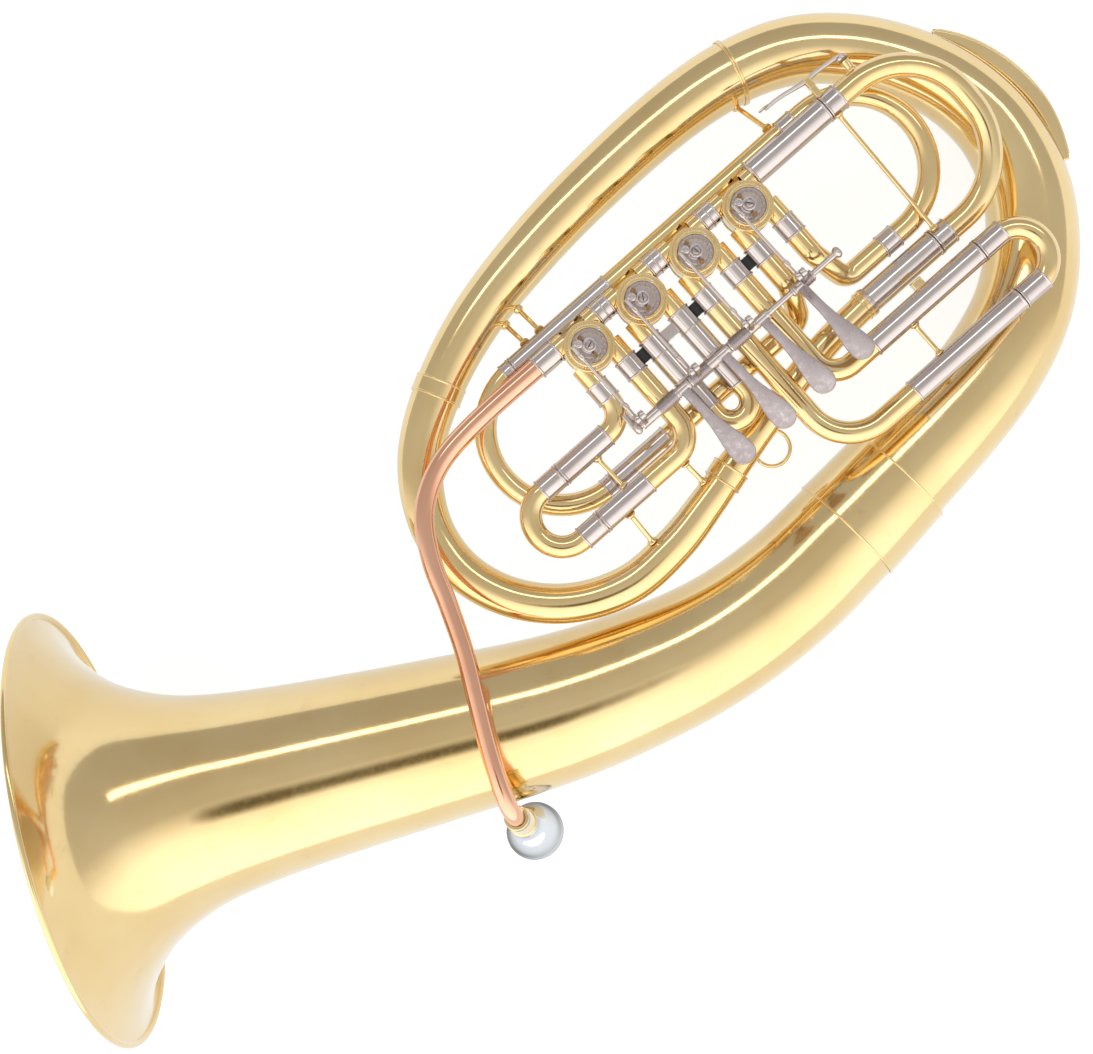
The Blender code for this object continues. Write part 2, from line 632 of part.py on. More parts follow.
def build_third_slide():
    near_y, far_y = V3_LEG_YS
    left, right = port(2, -1), port(2, 1)
    bands = [ferrule_band(), (x_between(136.0, V3_JOINT_X), SLEEVE_RADIUS)]
    a = rounded_route([(left, 0), ((left[0], far_y, 0), 33), ((V3_JOINT_X, far_y, 0), 0)])
    b = rounded_route([(right, 0), ((right[0], near_y, 0), 17), ((V3_JOINT_X, near_y, 0), 0)])
    tube_a = baked(pipe("third_valve_tubes", with_radius(a, bands, TUBE_RADIUS)))
    tube_b = baked(pipe("inner_tube", with_radius(b, bands, TUBE_RADIUS)))
    brace = rod("brace", (165.0, near_y - 7.3, 0.0), (165.0, far_y + 7.3, 0.0), 1.6)
    block = box("block", (180.0, -113.6, -7.0), (188.0, -107.5, 1.5))
    finish(combine(tube_a, [tube_b, brace, block]), BRASS)
    legs = [(x_between(0.0, V3_JOINT_X + GAP), INNER_RADIUS),
            (x_between(V3_JOINT_X + GAP, 247.0), SLEEVE_RADIUS)]
    crook = rounded_route([((141.0, near_y, 0), 0), ((V3_CROOK_END_X, near_y, 0), 19.9),
                           ((V3_CROOK_END_X, far_y, 0), 19.9), ((141.0, far_y, 0), 0)])
    centre = (V3_JOINT_X, (near_y + far_y) / 2, 0.0)
    finish(pipe("third_valve_slide", with_radius(crook, legs, TUBE_RADIUS)), BRASS, centre)


def build_fourth_slide():
    high_y, low_y = V4_LEG_YS
    left, right = port(3, -1), port(3, 1)
    low_bands = [ferrule_band(), (x_between(V4_JOINT_X, 2.0), SLEEVE_RADIUS)]
    short = rounded_route([(left, 0), ((left[0], -56.0, 0), 10), ((115.0, low_y, LOOP_Z), 10),
                           ((V4_JOINT_X, low_y, LOOP_Z), 0)])
    finish(pipe("fourth_valve_tube_short", with_radius(short, low_bands, TUBE_RADIUS)), BRASS)
    high_bands = [ferrule_band_low(), (x_between(185.0, 198.0), SLEEVE_RADIUS),
                  (lambda p: p.y > 0 and V4_JOINT_X <= p.x <= 38.0, SLEEVE_RADIUS)]
    turn = (high_y - low_y) / 2 - 0.3
    long = rounded_route([(right, 0), ((right[0], -52.0, 0), 10), ((155.0, low_y, LOOP_Z), 10),
                          ((V4_RIGHT_END_X, low_y, LOOP_Z), turn), ((V4_RIGHT_END_X, high_y, LOOP_Z), turn),
                          ((V4_JOINT_X, high_y, LOOP_Z), 0)])
    finish(pipe("fourth_valve_tube_long", with_radius(long, high_bands, TUBE_RADIUS)), BRASS)
    legs = [(x_between(V4_JOINT_X - GAP, 100.0), INNER_RADIUS)]
    crook = rounded_route([((-3.0, high_y, LOOP_Z), 0), ((V4_CROOK_END_X, high_y, LOOP_Z), turn),
                           ((V4_CROOK_END_X, low_y, LOOP_Z), turn), ((-3.0, low_y, LOOP_Z), 0)])
    centre = (V4_JOINT_X, (high_y + low_y) / 2, LOOP_Z)
    finish(pipe("fourth_valve_slide", with_radius(crook, legs, TUBE_RADIUS)), BRASS, centre)


def ferrule_band_low():
    return (lambda point: -36.0 < point.y < -20.0 and point.z > -1.0, SLEEVE_RADIUS)


# ---------------------------------------------------------------- main tuning slide

def build_tuning_slide():
    start = valve_x(3) + CASING_RADIUS + GAP
    for name, y, z, low in (("tuning_sleeve_upper", MAIN_TOP_Y, 0.0, start),
                            ("tuning_sleeve_lower", MAIN_LOW_Y, MAIN_LOW_Z, RECEIVER[-1][0] + 4 * GAP)):
        knots = ((low, y, z, MAIN_SLEEVE_RADIUS), (MAIN_JOINT_X, y, z, MAIN_SLEEVE_RADIUS))
        finish(pipe(name, knots), NICKEL)
    legs = [(x_between(0.0, MAIN_JOINT_X + GAP), MAIN_INNER_RADIUS),
            (x_between(MAIN_JOINT_X + GAP, 226.0), MAIN_SLEEVE_RADIUS)]
    turn = 52.0
    crook = rounded_route([((158.0, MAIN_TOP_Y, 0), 0), ((MAIN_CROOK_END_X, MAIN_TOP_Y, 0), turn),
                           ((MAIN_CROOK_END_X, MAIN_LOW_Y, MAIN_LOW_Z), turn),
                           ((158.0, MAIN_LOW_Y, MAIN_LOW_Z), 0)], 22.5)
    slide = baked(pipe("tuning_slide", with_radius(crook, legs, MAIN_INNER_RADIUS + 0.5)))
    brace = rod("brace", (217.0, MAIN_TOP_Y - 7.5, 3.0), (217.5, MAIN_LOW_Y + 6.5, MAIN_LOW_Z + 6.0), 1.6)
    x, y, _ = WATER_KEY_PIVOT
    saddle = box("saddle", (x - 2.2, MAIN_TOP_Y + 8.3, -2.5), (x + 2.2, y - 4.0, 2.5))
    cheeks = [box("cheek", (x - 2.2, y - 5.5, side * 3.0 - 0.8), (x + 2.2, y + 2.0, side * 3.0 + 0.8))
              for side in (-1, 1)]
    bridge = box("bridge", (x - 2.2, y - 5.5, -3.6), (x + 2.2, y - 4.0, 3.6))
    nipple = cylinder("nipple", (243.0, 22.0, 0.0), 3.2, 10.0, 12, "Y")
    finish(combine(slide, [brace, saddle, bridge, *cheeks, nipple]), BRASS, (MAIN_JOINT_X, -43.0, 0.0))


def build_water_key():
    x, y, z = WATER_KEY_PIVOT
    lever = rod("water_key", (184.0, y + 5.0, z), (244.5, y - 1.5, z), 1.5)
    touch = cylinder("touch", (184.0, y + 5.3, z), 4.0, 1.8, 12, "Y")
    barrel = cylinder("barrel", (x, y + 0.2, z), 1.9, 3.6, 10, "Z")
    seat = cylinder("seat", (243.0, y - 3.7, z), 4.0, 3.8, 12, "Y")
    finish(combine(lever, [touch, barrel, seat]), NICKEL, WATER_KEY_PIVOT)


# ---------------------------------------------------------------- leadpipe and mouthpiece

def build_leadpipe():
    knots = smooth_route(LEADPIPE, 24.0)
    finish(pipe("leadpipe", knots), ROSE)
    ends = ((-CASING_RADIUS - GAP, ROW_LINE_Y, 0.0, SLEEVE_RADIUS), (-34.0, ROW_LINE_Y, 0.0, SLEEVE_RADIUS))
    finish(pipe("leadpipe_ferrule", ends, wall=0.7), NICKEL)
    end = RECEIVER_TOP + MOUTHPIECE_AXIS * 26.0
    ends = ((*RECEIVER_TOP, 7.6), (*end, 8.6))
    finish(pipe("mouthpiece_receiver", ends, sides=16, wall=0.8), BRASS)


def build_mouthpiece():
    """Shank, cup and rim, hollow right through, turned about the receiver's axis."""
    seat = RECEIVER_TOP + MOUTHPIECE_AXIS * 8.0
    place = Matrix.Translation(metres(seat)) @ MOUTHPIECE_AXIS.to_track_quat("Z", "Y").to_matrix().to_4x4()
    outside = ((18.6, 61.0), (19.3, 58.5), (18.2, 54.0), (16.4, 46.0), (13.0, 38.0), (9.0, 32.5),
               (7.4, 26.0), (6.6, 18.0), (6.2, 0.0))
    inside = ((4.6, 0.0), (3.4, 20.0), (3.4, 32.0), (7.0, 37.0), (11.0, 44.0), (12.8, 52.0),
              (13.2, 58.5), (15.6, 61.4), (18.6, 61.0))
    profile = (*outside, *inside)
    mouthpiece = turned("mouthpiece", profile, place, 16)
    finish(mouthpiece, SILVER, RECEIVER_TOP)


# ---------------------------------------------------------------- braces and ring

def build_braces():
    stays = (("stay_top_left", (-29.0, 45.1, -33.8), (-28.0, 29.0, LOOP_Z)),
             ("stay_top_middle", (-16.0, 47.6, -34.3), (-15.5, 29.0, LOOP_Z)),
             ("stay_first_tubes", (-3.0, -98.0, -3.6), (-1.5, -113.9, -11.9)),
             ("stay_top_right", (179.5, 52.6, -43.0), (181.0, 29.2, LOOP_Z)),
             ("stay_first_slide", (-51.0, -99.6, 0.0), (-51.5, -121.0, -12.5)))
    for name, start, end in stays:
        finish(rod(name, start, end, 1.8), BRASS)
    ring = bmesh.new()
    profile = bmesh.ops.create_circle(ring, segments=6, radius=1.2 * MM)["verts"]
    bmesh.ops.rotate(ring, verts=profile, matrix=Matrix.Rotation(math.pi / 2, 3, "X"))
    bmesh.ops.translate(ring, verts=profile, vec=(11.8 * MM, 0.0, 0.0))
    bmesh.ops.spin(ring, geom=ring.verts[:] + ring.edges[:], axis=(0, 0, 1), cent=(0, 0, 0),
                   steps=18, angle=2 * math.pi)
    bmesh.ops.remove_doubles(ring, verts=ring.verts, dist=1e-6)
    bmesh.ops.recalc_face_normals(ring, faces=ring.faces)
    bmesh.ops.translate(ring, verts=ring.verts, vec=metres((47.5, -128.5, MAIN_LOW_Z - 11.8)))
    finish(mesh_object("finger_ring", ring), BRASS)


def lay_on_table():
    HORN_FRAME.rotation_euler = Euler((math.radians(REST_TILT_X), math.radians(REST_TILT_Y), 0.0))
    HORN_FRAME.location = REST_LOCATION


def main():
    build_bell()
    build_conical_tube()
    build_bow_guard()
    stops = [build_valve(number) for number in range(VALVE_COUNT)]
    build_connectors()
    build_axle()
    for number in range(VALVE_COUNT):
        build_lever(number)
        build_link(number, stops[number])
    build_first_slide()
    build_second_slide()
    build_third_slide()
    build_fourth_slide()
    build_tuning_slide()
    build_water_key()
    build_leadpipe()
    build_mouthpiece()
    build_braces()
    lay_on_table()


main()
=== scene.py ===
"""Looks of the oval baritone horn: fine surfaces, materials, studio light and camera.

Shapes are laid out in the horn's own frame, in millimetres: x runs along the row of valves
from the first to the fourth, y points from the levers to the top of the oval, and z points
out of the valve side. HORN turns that frame to where the horn lies on the table.
"""

import json
from math import copysign, cos, degrees, pi, radians, sin, tan

import bmesh
import bpy
from mathutils import Euler, Matrix, Vector

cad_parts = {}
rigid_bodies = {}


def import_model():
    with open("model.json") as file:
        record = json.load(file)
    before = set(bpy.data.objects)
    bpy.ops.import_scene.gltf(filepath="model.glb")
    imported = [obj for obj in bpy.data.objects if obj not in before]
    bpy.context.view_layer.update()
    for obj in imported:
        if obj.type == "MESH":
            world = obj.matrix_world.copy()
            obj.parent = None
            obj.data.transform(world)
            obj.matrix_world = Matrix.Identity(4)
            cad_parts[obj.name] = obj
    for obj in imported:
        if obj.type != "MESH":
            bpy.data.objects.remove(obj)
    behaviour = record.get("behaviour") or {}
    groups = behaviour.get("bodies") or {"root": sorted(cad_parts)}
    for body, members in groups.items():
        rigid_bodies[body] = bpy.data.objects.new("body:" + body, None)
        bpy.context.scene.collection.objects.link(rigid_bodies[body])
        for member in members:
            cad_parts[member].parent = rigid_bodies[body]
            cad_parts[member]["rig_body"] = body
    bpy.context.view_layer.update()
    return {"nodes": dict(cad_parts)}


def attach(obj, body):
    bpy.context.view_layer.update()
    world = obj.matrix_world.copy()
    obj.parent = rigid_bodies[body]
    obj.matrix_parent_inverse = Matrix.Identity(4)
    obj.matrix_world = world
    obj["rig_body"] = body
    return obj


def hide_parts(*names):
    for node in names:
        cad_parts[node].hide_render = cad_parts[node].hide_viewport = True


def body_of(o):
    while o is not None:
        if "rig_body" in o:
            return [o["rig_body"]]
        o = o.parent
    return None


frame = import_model()

MM = 0.001
HORN = Matrix.Translation((0.106223, 0.063997, 0.140746)) @ Euler(
    (radians(1.0025), radians(10.3103), 0.0)).to_matrix().to_4x4()
HERE = Matrix.Identity(4)
X_AXIS = Vector((1.0, 0.0, 0.0))
Y_AXIS = Vector((0.0, 1.0, 0.0))
Z_AXIS = Vector((0.0, 0.0, 1.0))

# Valves
VALVE_PITCH = 44.7
VALVE_Y = -2.0
CASING_RADIUS = 16.5
CASING_BOTTOM = -13.5
CASING_TOP = 12.5
PORT_OFFSET = 12.3
ROW_LINE_Y = VALVE_Y + PORT_OFFSET
PORT_END_Y = -22.0
PORT_FERRULE_END_Y = -36.0
STOP_Z = 21.0
STOP_TIP = Vector((6.5 * cos(radians(135.0)), 6.5 * sin(radians(135.0)), 0.0))

# Tubing
TUBE = 7.4
SLEEVE = 7.9
INNER_LEG = 6.5
MAIN_SLEEVE = 9.0
MAIN_LEG = 7.9
GAP = 0.3
LOOP_Z = -20.0
MAIN_LOW_Z = -18.0

# Lever works
AXLE_Y = -61.5
AXLE_Z = 12.5
LEVER_REST_ANGLE = 22.0
CRANK_LENGTH = 24.0
CRANK_LEAN = LEVER_REST_ANGLE / 2
LINK_OFFSET = -5.5
EYE_OFFSET = -4.0

# The bell is a surface turned about its axis: distance from the rim, then radius.
BELL_FLARE = ((0.0, 147.0), (4.0, 134.0), (11.0, 120.0), (22.0, 105.5), (38.0, 91.0), (56.0, 80.5),
              (78.0, 72.0), (104.0, 66.5), (140.0, 62.0), (185.0, 58.2), (240.0, 54.5))
BELL_RIM = Vector((-460.0, -17.0, -76.0))
BELL_TAIL_START = Vector((-244.0, -127.5, -58.0))
# Knots of the wide conical tube from the bell throat to the valves: x, y, z, radius.
BELL_TAIL = ((-167.0, -165.5, -52.0, 49.3), (-100.0, -190.0, -48.5, 45.0), (-50.0, -201.5, -47.0, 42.2),
             (0.0, -205.0, -46.0, 40.6), (50.0, -202.0, -45.5, 39.5))
BOW = ((99.0, -197.5, -45.5, 37.8), (160.0, -191.5, -47.0, 35.8), (201.0, -183.0, -49.5, 34.8),
       (237.0, -168.0, -52.5, 33.6), (268.0, -143.0, -56.0, 32.0), (291.0, -111.0, -58.0, 30.2),
       (302.0, -72.0, -58.5, 28.2), (299.0, -35.0, -57.0, 26.8), (285.0, 0.0, -54.5, 25.6),
       (262.0, 33.0, -51.5, 24.4), (231.0, 58.5, -48.5, 23.5), (192.0, 73.0, -45.5, 22.4))
BRANCH = ((145.0, 79.0, -42.5, 21.3), (80.0, 78.5, -39.0, 20.2), (20.0, 73.5, -36.5, 19.2),
          (-40.0, 62.5, -34.5, 17.8), (-90.0, 43.5, -32.0, 16.5))
BRANCH_END = ((-128.0, 18.0, -30.0, 15.4), (-151.0, -17.0, -27.5, 14.4), (-156.0, -53.0, -25.5, 13.9),
              (-144.0, -88.0, -23.5, 13.5), (-117.0, -117.0, -21.5, 13.3), (-80.0, -133.0, -20.0, 13.2),
              (-40.0, -133.0, -18.5, 12.9), (-4.0, -126.0, MAIN_LOW_Z, 12.0), (12.0, -122.0, MAIN_LOW_Z, 11.4))
RECEIVER = ((13.5, -121.6, MAIN_LOW_Z, 11.2), (50.0, -113.5, MAIN_LOW_Z, 10.1),
            (86.0, -106.0, MAIN_LOW_Z, 9.7), (120.0, -100.5, MAIN_LOW_Z, 9.4), (154.5, -98.5, MAIN_LOW_Z, 9.2))

MAIN_TOP_Y = 12.0
MAIN_LOW_Y = -98.5
MAIN_JOINT_X = 213.0
MAIN_CROOK_END_X = 289.0
V1_LEG_YS = (-51.0, -91.0)
V1_JOINT_X = -67.0
V1_CROOK_END_X = -104.0
V2_JOINT_Y = -58.0
V2_CROOK_END_Y = -100.3
V3_LEG_YS = (-121.0, -161.0)
V3_JOINT_X = 227.0
V3_CROOK_END_X = 262.0
V4_LEG_YS = (20.5, -78.0)
V4_JOINT_X = -44.0
V4_CROOK_END_X = -96.0
V4_RIGHT_END_X = 253.5

LEADPIPE = ((-20.0, ROW_LINE_Y, 0.0, 6.9), (-88.0, 9.8, 0.5, 6.8), (-122.0, 4.5, 2.0, 6.7),
            (-148.0, -11.0, 4.0, 6.6), (-165.0, -37.0, 6.0, 6.5), (-176.0, -66.0, 7.5, 6.4),
            (-188.0, -95.0, 9.0, 6.3), (-202.0, -122.0, 10.0, 6.2), (-215.0, -147.0, 10.5, 6.1),
            (-226.0, -171.0, 10.5, 6.0), (-232.0, -187.0, 7.5, 6.0), (-233.7, -194.6, 1.2, 5.9),
            (-233.9, -196.9, -4.0, 5.8))
MOUTHPIECE_AXIS = Vector((-0.03, -0.3, -0.95)).normalized()
RECEIVER_TOP = Vector((-233.8, -196.0, -1.0))
WATER_KEY = Vector((216.5, 33.0, 0.0))


# ---------------------------------------------------------------- materials

def fill(tree, made, values):
    """Fills a node's inputs, each with a plain value or with a link from another node."""
    for name, value in values.items():
        if isinstance(value, bpy.types.NodeSocket):
            tree.links.new(value, made.inputs[name])
        else:
            made.inputs[name].default_value = value


def node(tree, kind, values=None, **settings):
    """Adds a node with these settings and input values."""
    made = tree.nodes.new(kind)
    for key, value in settings.items():
        setattr(made, key, value)
    fill(tree, made, values or {})
    return made


def start_material(name):
    """A new material, its node tree, its main shader and the object's own coordinates."""
    material = bpy.data.materials.new(name)
    material.use_nodes = True
    tree = material.node_tree
    coords = node(tree, "ShaderNodeTexCoord").outputs["Object"]
    return material, tree, tree.nodes["Principled BSDF"], coords


def noise(tree, coords, scale, detail=4.0, rough=0.55):
    values = {"Scale": scale, "Detail": detail, "Roughness": rough, "Vector": coords}
    return node(tree, "ShaderNodeTexNoise", values).outputs["Fac"]


def ramp(tree, value, stops):
    """A colour ramp: stops are (position, colour), a colour being grey or red, green, blue."""
    made = node(tree, "ShaderNodeValToRGB", {"Fac": value})
    marks = made.color_ramp.elements
    while len(marks) < len(stops):
        marks.new(0.5)
    for mark, (position, colour) in zip(marks, stops):
        mark.position = position
        mark.color = (colour,) * 3 + (1.0,) if isinstance(colour, float) else (*colour, 1.0)
    return made.outputs["Color"]


def scaled(tree, value, factor, extra=0.0):
    """value times factor plus extra, which may be a link."""
    values = {0: value, 1: factor, 2: extra}
    return node(tree, "ShaderNodeMath", values, operation="MULTIPLY_ADD").outputs["Value"]


def mix_colour(tree, share, first, second, blend="MIX"):
    values = {"Factor": share, "A": first, "B": second}
    return node(tree, "ShaderNodeMix", values, data_type="RGBA", blend_type=blend).outputs["Result"]


def bump(tree, strength, distance, height, normal=None):
    values = {"Strength": strength, "Distance": distance, "Height": height}
    if normal:
        values["Normal"] = normal
    return node(tree, "ShaderNodeBump", values).outputs["Normal"]


def polished_metal(name, pale, deep, tarnish, rough, wave=0.012, coat=0.0, brushed=0.0, edge=1.0):
    """Polished sheet metal: slow drifts of tint, faint tarnish, wiping marks and a hand-made waviness.

    brushed sets how deep the wiping marks are, and edge how bright the metal stays near its outline.
    """
    material, tree, shader, coords = start_material(name)
    drift = ramp(tree, noise(tree, coords, 14.0, 3.0), ((0.3, pale), (0.72, deep)))
    spots = ramp(tree, noise(tree, coords, 55.0, 6.0, 0.65), ((0.62, 0.0), (0.78, 1.0)))
    wipe = noise(tree, coords, 260.0, 5.0, 0.7)
    fine = noise(tree, coords, 900.0, 3.0)
    blur = node(tree, "ShaderNodeMapRange", {"Value": wipe, "From Min": 0.3, "From Max": 0.75,
                                             "To Min": rough * 0.75, "To Max": rough * 1.5})
    ripple = bump(tree, wave, 0.01, noise(tree, coords, 38.0, 2.0))
    fill(tree, shader, {
        "Metallic": 1.0,
        "Coat Weight": coat,
        "Coat Roughness": 0.04,
        "Coat IOR": 1.9,
        "Specular Tint": (edge, edge, edge, 1.0),
        "Base Color": mix_colour(tree, scaled(tree, spots, 0.35), drift, (*tarnish, 1.0)),
        "Roughness": scaled(tree, spots, 0.06, blur.outputs["Result"]),
        "Normal": bump(tree, 0.02 + brushed, 0.0002, mix_colour(tree, 0.5, wipe, fine), ripple),
    })
    return material


def grainy_matt_surface(name, dark, light, rough):
    """Cork, or a flat black that paints shade: speckled, matt and grainy."""
    material, tree, shader, coords = start_material(name)
    grain = noise(tree, coords, 900.0, 6.0, 0.7)
    fill(tree, shader, {
        "Base Color": ramp(tree, grain, ((0.35, dark), (0.65, light))),
        "Roughness": ramp(tree, grain, ((0.2, rough), (0.8, min(1.0, rough + 0.15)))),
        "Normal": bump(tree, 0.4, 0.0004, grain),
    })
    return material


BRASS = polished_metal("gold_lacquer", (0.90, 0.67, 0.30), (0.83, 0.57, 0.21), (0.60, 0.36, 0.12), 0.11,
                       coat=1.0)
NICKEL = polished_metal("nickel_silver", (0.72, 0.65, 0.61), (0.62, 0.54, 0.51), (0.45, 0.37, 0.34), 0.12,
                        edge=0.75)
STEEL = polished_metal("worn_nickel", (0.56, 0.49, 0.48), (0.47, 0.40, 0.40), (0.34, 0.28, 0.26), 0.28,
                       wave=0.004, brushed=0.01, edge=0.7)
ROSE = polished_metal("rose_lacquer", (0.92, 0.52, 0.34), (0.85, 0.42, 0.25), (0.60, 0.30, 0.20), 0.09,
                      coat=0.4)
SILVER = polished_metal("silver_plate", (0.86, 0.88, 0.92), (0.76, 0.79, 0.85), (0.58, 0.56, 0.55), 0.06,
                        wave=0.004, edge=0.3)
CORK = grainy_matt_surface("cork", (0.20, 0.10, 0.04), (0.45, 0.27, 0.13), 0.8)
# A matt black that paints shade: the screw slots and the plates between port ferrules are coloured with it for
# the shade and dark reflections there.
SHADE_BLACK = grainy_matt_surface("painted_shade_black", (0.012, 0.012, 0.013), (0.035, 0.034, 0.036), 0.5)


# ---------------------------------------------------------------- shaping helpers

def publish(name, mesh, place, material, nodes, smooth=40.0):
    """Adds a piece to the scene: it stands for these CAD nodes, or this one, and rides on their body."""
    obj = bpy.data.objects.new(name, mesh)
    bpy.context.scene.collection.objects.link(obj)
    mesh.materials.clear()
    mesh.materials.append(material)
    mesh.shade_smooth()
    mesh.set_sharp_from_angle(angle=radians(smooth))
    mesh.transform(HORN @ place)
    nodes = (nodes,) if isinstance(nodes, str) else nodes
    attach(obj, body_of(frame["nodes"][nodes[0]])[0])
    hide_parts(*nodes)
    return obj


def to_mesh(shape, name):
    """Makes the mesh from a bmesh in millimetres."""
    bmesh.ops.remove_doubles(shape, verts=shape.verts, dist=1e-4)
    bmesh.ops.recalc_face_normals(shape, faces=shape.faces)
    bmesh.ops.scale(shape, vec=(MM, MM, MM), verts=shape.verts)
    mesh = bpy.data.meshes.new(name)
    shape.to_mesh(mesh)
    shape.free()
    return mesh


def place_at(point=(0.0, 0.0, 0.0), z_axis=Z_AXIS, x_hint=None):
    """A frame at a point in millimetres with its z along z_axis."""
    z = Vector(z_axis).normalized()
    hint = Vector(x_hint) if x_hint else (X_AXIS if abs(z.x) < 0.9 else Y_AXIS)
    y = z.cross(hint).normalized()
    turn = Matrix((y.cross(z), y, z)).transposed().to_4x4()
    return Matrix.Translation(Vector(point) * MM) @ turn


def smooth_route(knots, spacing=3.0):
    """Points every spacing or so on a smooth curve through knots of any number of values."""
    knots = [Vector(k) for k in knots]
    ends = [knots[0] * 2 - knots[1], *knots, knots[-1] * 2 - knots[-2]]
    route = []
    for before, start, end, after in zip(ends, ends[1:], ends[2:], ends[3:]):
        length = (end - start).length
        leave = (end - before) * (length / ((end - start).length + (start - before).length))
        arrive = (after - start) * (length / ((after - end).length + (end - start).length))
        count = max(1, round(length / spacing))
        for i in range(count):
            t = i / count
            route.append(start * (2 * t**3 - 3 * t**2 + 1) + leave * (t**3 - 2 * t**2 + t)
                         + end * (3 * t**2 - 2 * t**3) + arrive * (t**3 - t**2))
    route.append(knots[-1])
    return route


def rounded_route(corners, radius, turn=6.0):
    """Turns corners, each (point, bend radius), into a line with round bends, as (x, y, z, radius)."""
    route = [Vector(corners[0][0])]
    for (before, _), (corner, bend), (after, _) in zip(corners, corners[1:], corners[2:]):
        corner = Vector(corner)
        inward = (corner - Vector(before)).normalized()
        outward = (Vector(after) - corner).normalized()
        angle = inward.angle(outward)
        start = corner - inward * bend * tan(angle / 2)
        axis = inward.cross(outward).normalized()
        centre = start + axis.cross(inward) * bend
        count = max(2, round(degrees(angle) / turn))
        for i in range(count + 1):
            route.append(centre + Matrix.Rotation(angle * i / count, 3, axis) @ (start - centre))
    route.append(Vector(corners[-1][0]))
    spread = [route[0]]
    for start, end in zip(route, route[1:]):
        if (end - start).length < 1e-6:
            continue
        count = max(1, round((end - start).length / 12.0))
        spread += [start.lerp(end, (i + 1) / count) for i in range(count)]
    return [(*point, radius) for point in spread]


def polar(radius, angle):
    return radius * cos(angle), radius * sin(angle)


def nearest(route, knot):
    """The index of the point of a route that is nearest to a knot."""
    return min(range(len(route)), key=lambda i: (route[i] - Vector(knot)).length)


def bridge(shape, rings):
    """Joins each ring of vertices to the next with faces. A ring may be one vertex repeated."""
    sides = len(rings[0])
    for before, after in zip(rings, rings[1:]):
        for k in range(sides):
            corners = []
            for vert in (before[k], before[(k + 1) % sides], after[(k + 1) % sides], after[k]):
                if vert not in corners:
                    corners.append(vert)
            if len(corners) > 2:
                shape.faces.new(corners)


def skin(knots, sides, wall):
    """A bmesh of a round tube with a wall and rounded lips, along knots (x, y, z, radius)."""
    points = [Vector(k[:3]) for k in knots]
    radii = [k[3] for k in knots]
    runs = []
    for i in range(len(points)):
        run = points[min(i + 1, len(points) - 1)] - points[max(i - 1, 0)]
        runs.append(run.normalized())
    side = runs[0].orthogonal().normalized()
    shape = bmesh.new()
    rings = []

    def ring(centre, run, across, radius):
        up = run.cross(across)
        made = []
        for k in range(sides):
            turn = 2 * pi * k / sides
            made.append(shape.verts.new(centre + (across * cos(turn) + up * sin(turn)) * radius))
        rings.append(made)

    frames = []
    for run in runs:
        side = (side - run * side.dot(run)).normalized()
        frames.append(side.copy())
    lip = wall * 0.3
    stations = list(zip(points, runs, frames, radii))
    first, last = stations[0], stations[-1]
    ring(first[0], first[1], first[2], first[3] - lip)
    ring(first[0] + first[1] * lip, first[1], first[2], first[3])
    for point, run, across, radius in stations[1:-1]:
        ring(point, run, across, radius)
    ring(last[0] - last[1] * lip, last[1], last[2], last[3])
    ring(last[0], last[1], last[2], last[3] - lip)
    for point, run, across, radius in reversed(stations):
        ring(point, run, across, radius - wall)
    rings.append(rings[0])
    bridge(shape, rings)
    return shape


def tube(name, knots, material, nodes, sides=28, wall=0.7):
    return publish(name, to_mesh(skin(knots, sides, wall), name), HERE, material, nodes)


def revolve(profile, sides=48):
    """A bmesh of a closed (radius, height) profile turned about z."""
    shape = bmesh.new()
    rings = []
    for radius, height in profile:
        if radius < 1e-6:
            rings.append([shape.verts.new((0.0, 0.0, height))] * sides)
            continue
        rings.append([shape.verts.new((*polar(radius, 2 * pi * k / sides), height)) for k in range(sides)])
    bridge(shape, rings)
    return shape


def lathe(name, profile, place, material, nodes, sides=48, smooth=40.0):
    return publish(name, to_mesh(revolve(profile, sides), name), place, material, nodes, smooth)


def eased(profile, amount=0.3):
    """Rounds every corner of a (radius, height) profile by cutting it in three steps."""
    points = [Vector(p) for p in profile]
    made = [profile[0]]
    for before, here, after in zip(points, points[1:], points[2:]):
        back = before - here
        on = after - here
        reach = min(amount, back.length * 0.45, on.length * 0.45)
        start = here + back.normalized() * reach
        end = here + on.normalized() * reach
        for t in (0.0, 0.5, 1.0):
            bent = start * (1 - t) ** 2 + here * 2 * t * (1 - t) + end * t**2
            made.append(tuple(bent))
    made.append(profile[-1])
    return made


def sleeve(name, start, end, radius, material, nodes, bore=0.6, beads=(1.0, 1.0), sides=40):
    """A straight tube over another, with a raised bead at either end."""
    start, end = Vector(start), Vector(end)
    length = (end - start).length
    inner = radius - bore
    low, high = (bead * 0.55 for bead in beads)
    profile = [(inner, 0.0)]
    for at, rise, width in ((0.0, low, 1.6), (length, high, -1.6)):
        if at:
            profile.append((radius, length - 2.0))
        steps = ((0.0, 0.0), (rise, 0.35), (rise, 1.25), (0.0, 1.6))
        for out, share in (steps if at == 0.0 else reversed(steps)):
            profile.append((radius + out, at + copysign(share, width)))
        if not at:
            profile.append((radius, 2.0))
    profile.append((inner, length))
    profile.append((inner, 0.0))
    return lathe(name, eased(profile, 0.25), place_at(start, end - start), material, nodes, sides)


def rod(name, start, end, radius, material, nodes, ends=True, sides=16):
    """A turned rod with a small round foot at either end."""
    start, end = Vector(start), Vector(end)
    length = (end - start).length
    foot = radius * 2.1 if ends else radius
    profile = [(0.0, 0.0), (foot, 0.0), (foot, 0.9), (radius * 1.15, 2.4), (radius, 4.0),
               (radius, length - 4.0), (radius * 1.15, length - 2.4), (foot, length - 0.9),
               (foot, length), (0.0, length)]
    return lathe(name, eased(profile, 0.3), place_at(start, end - start), material, nodes, sides)


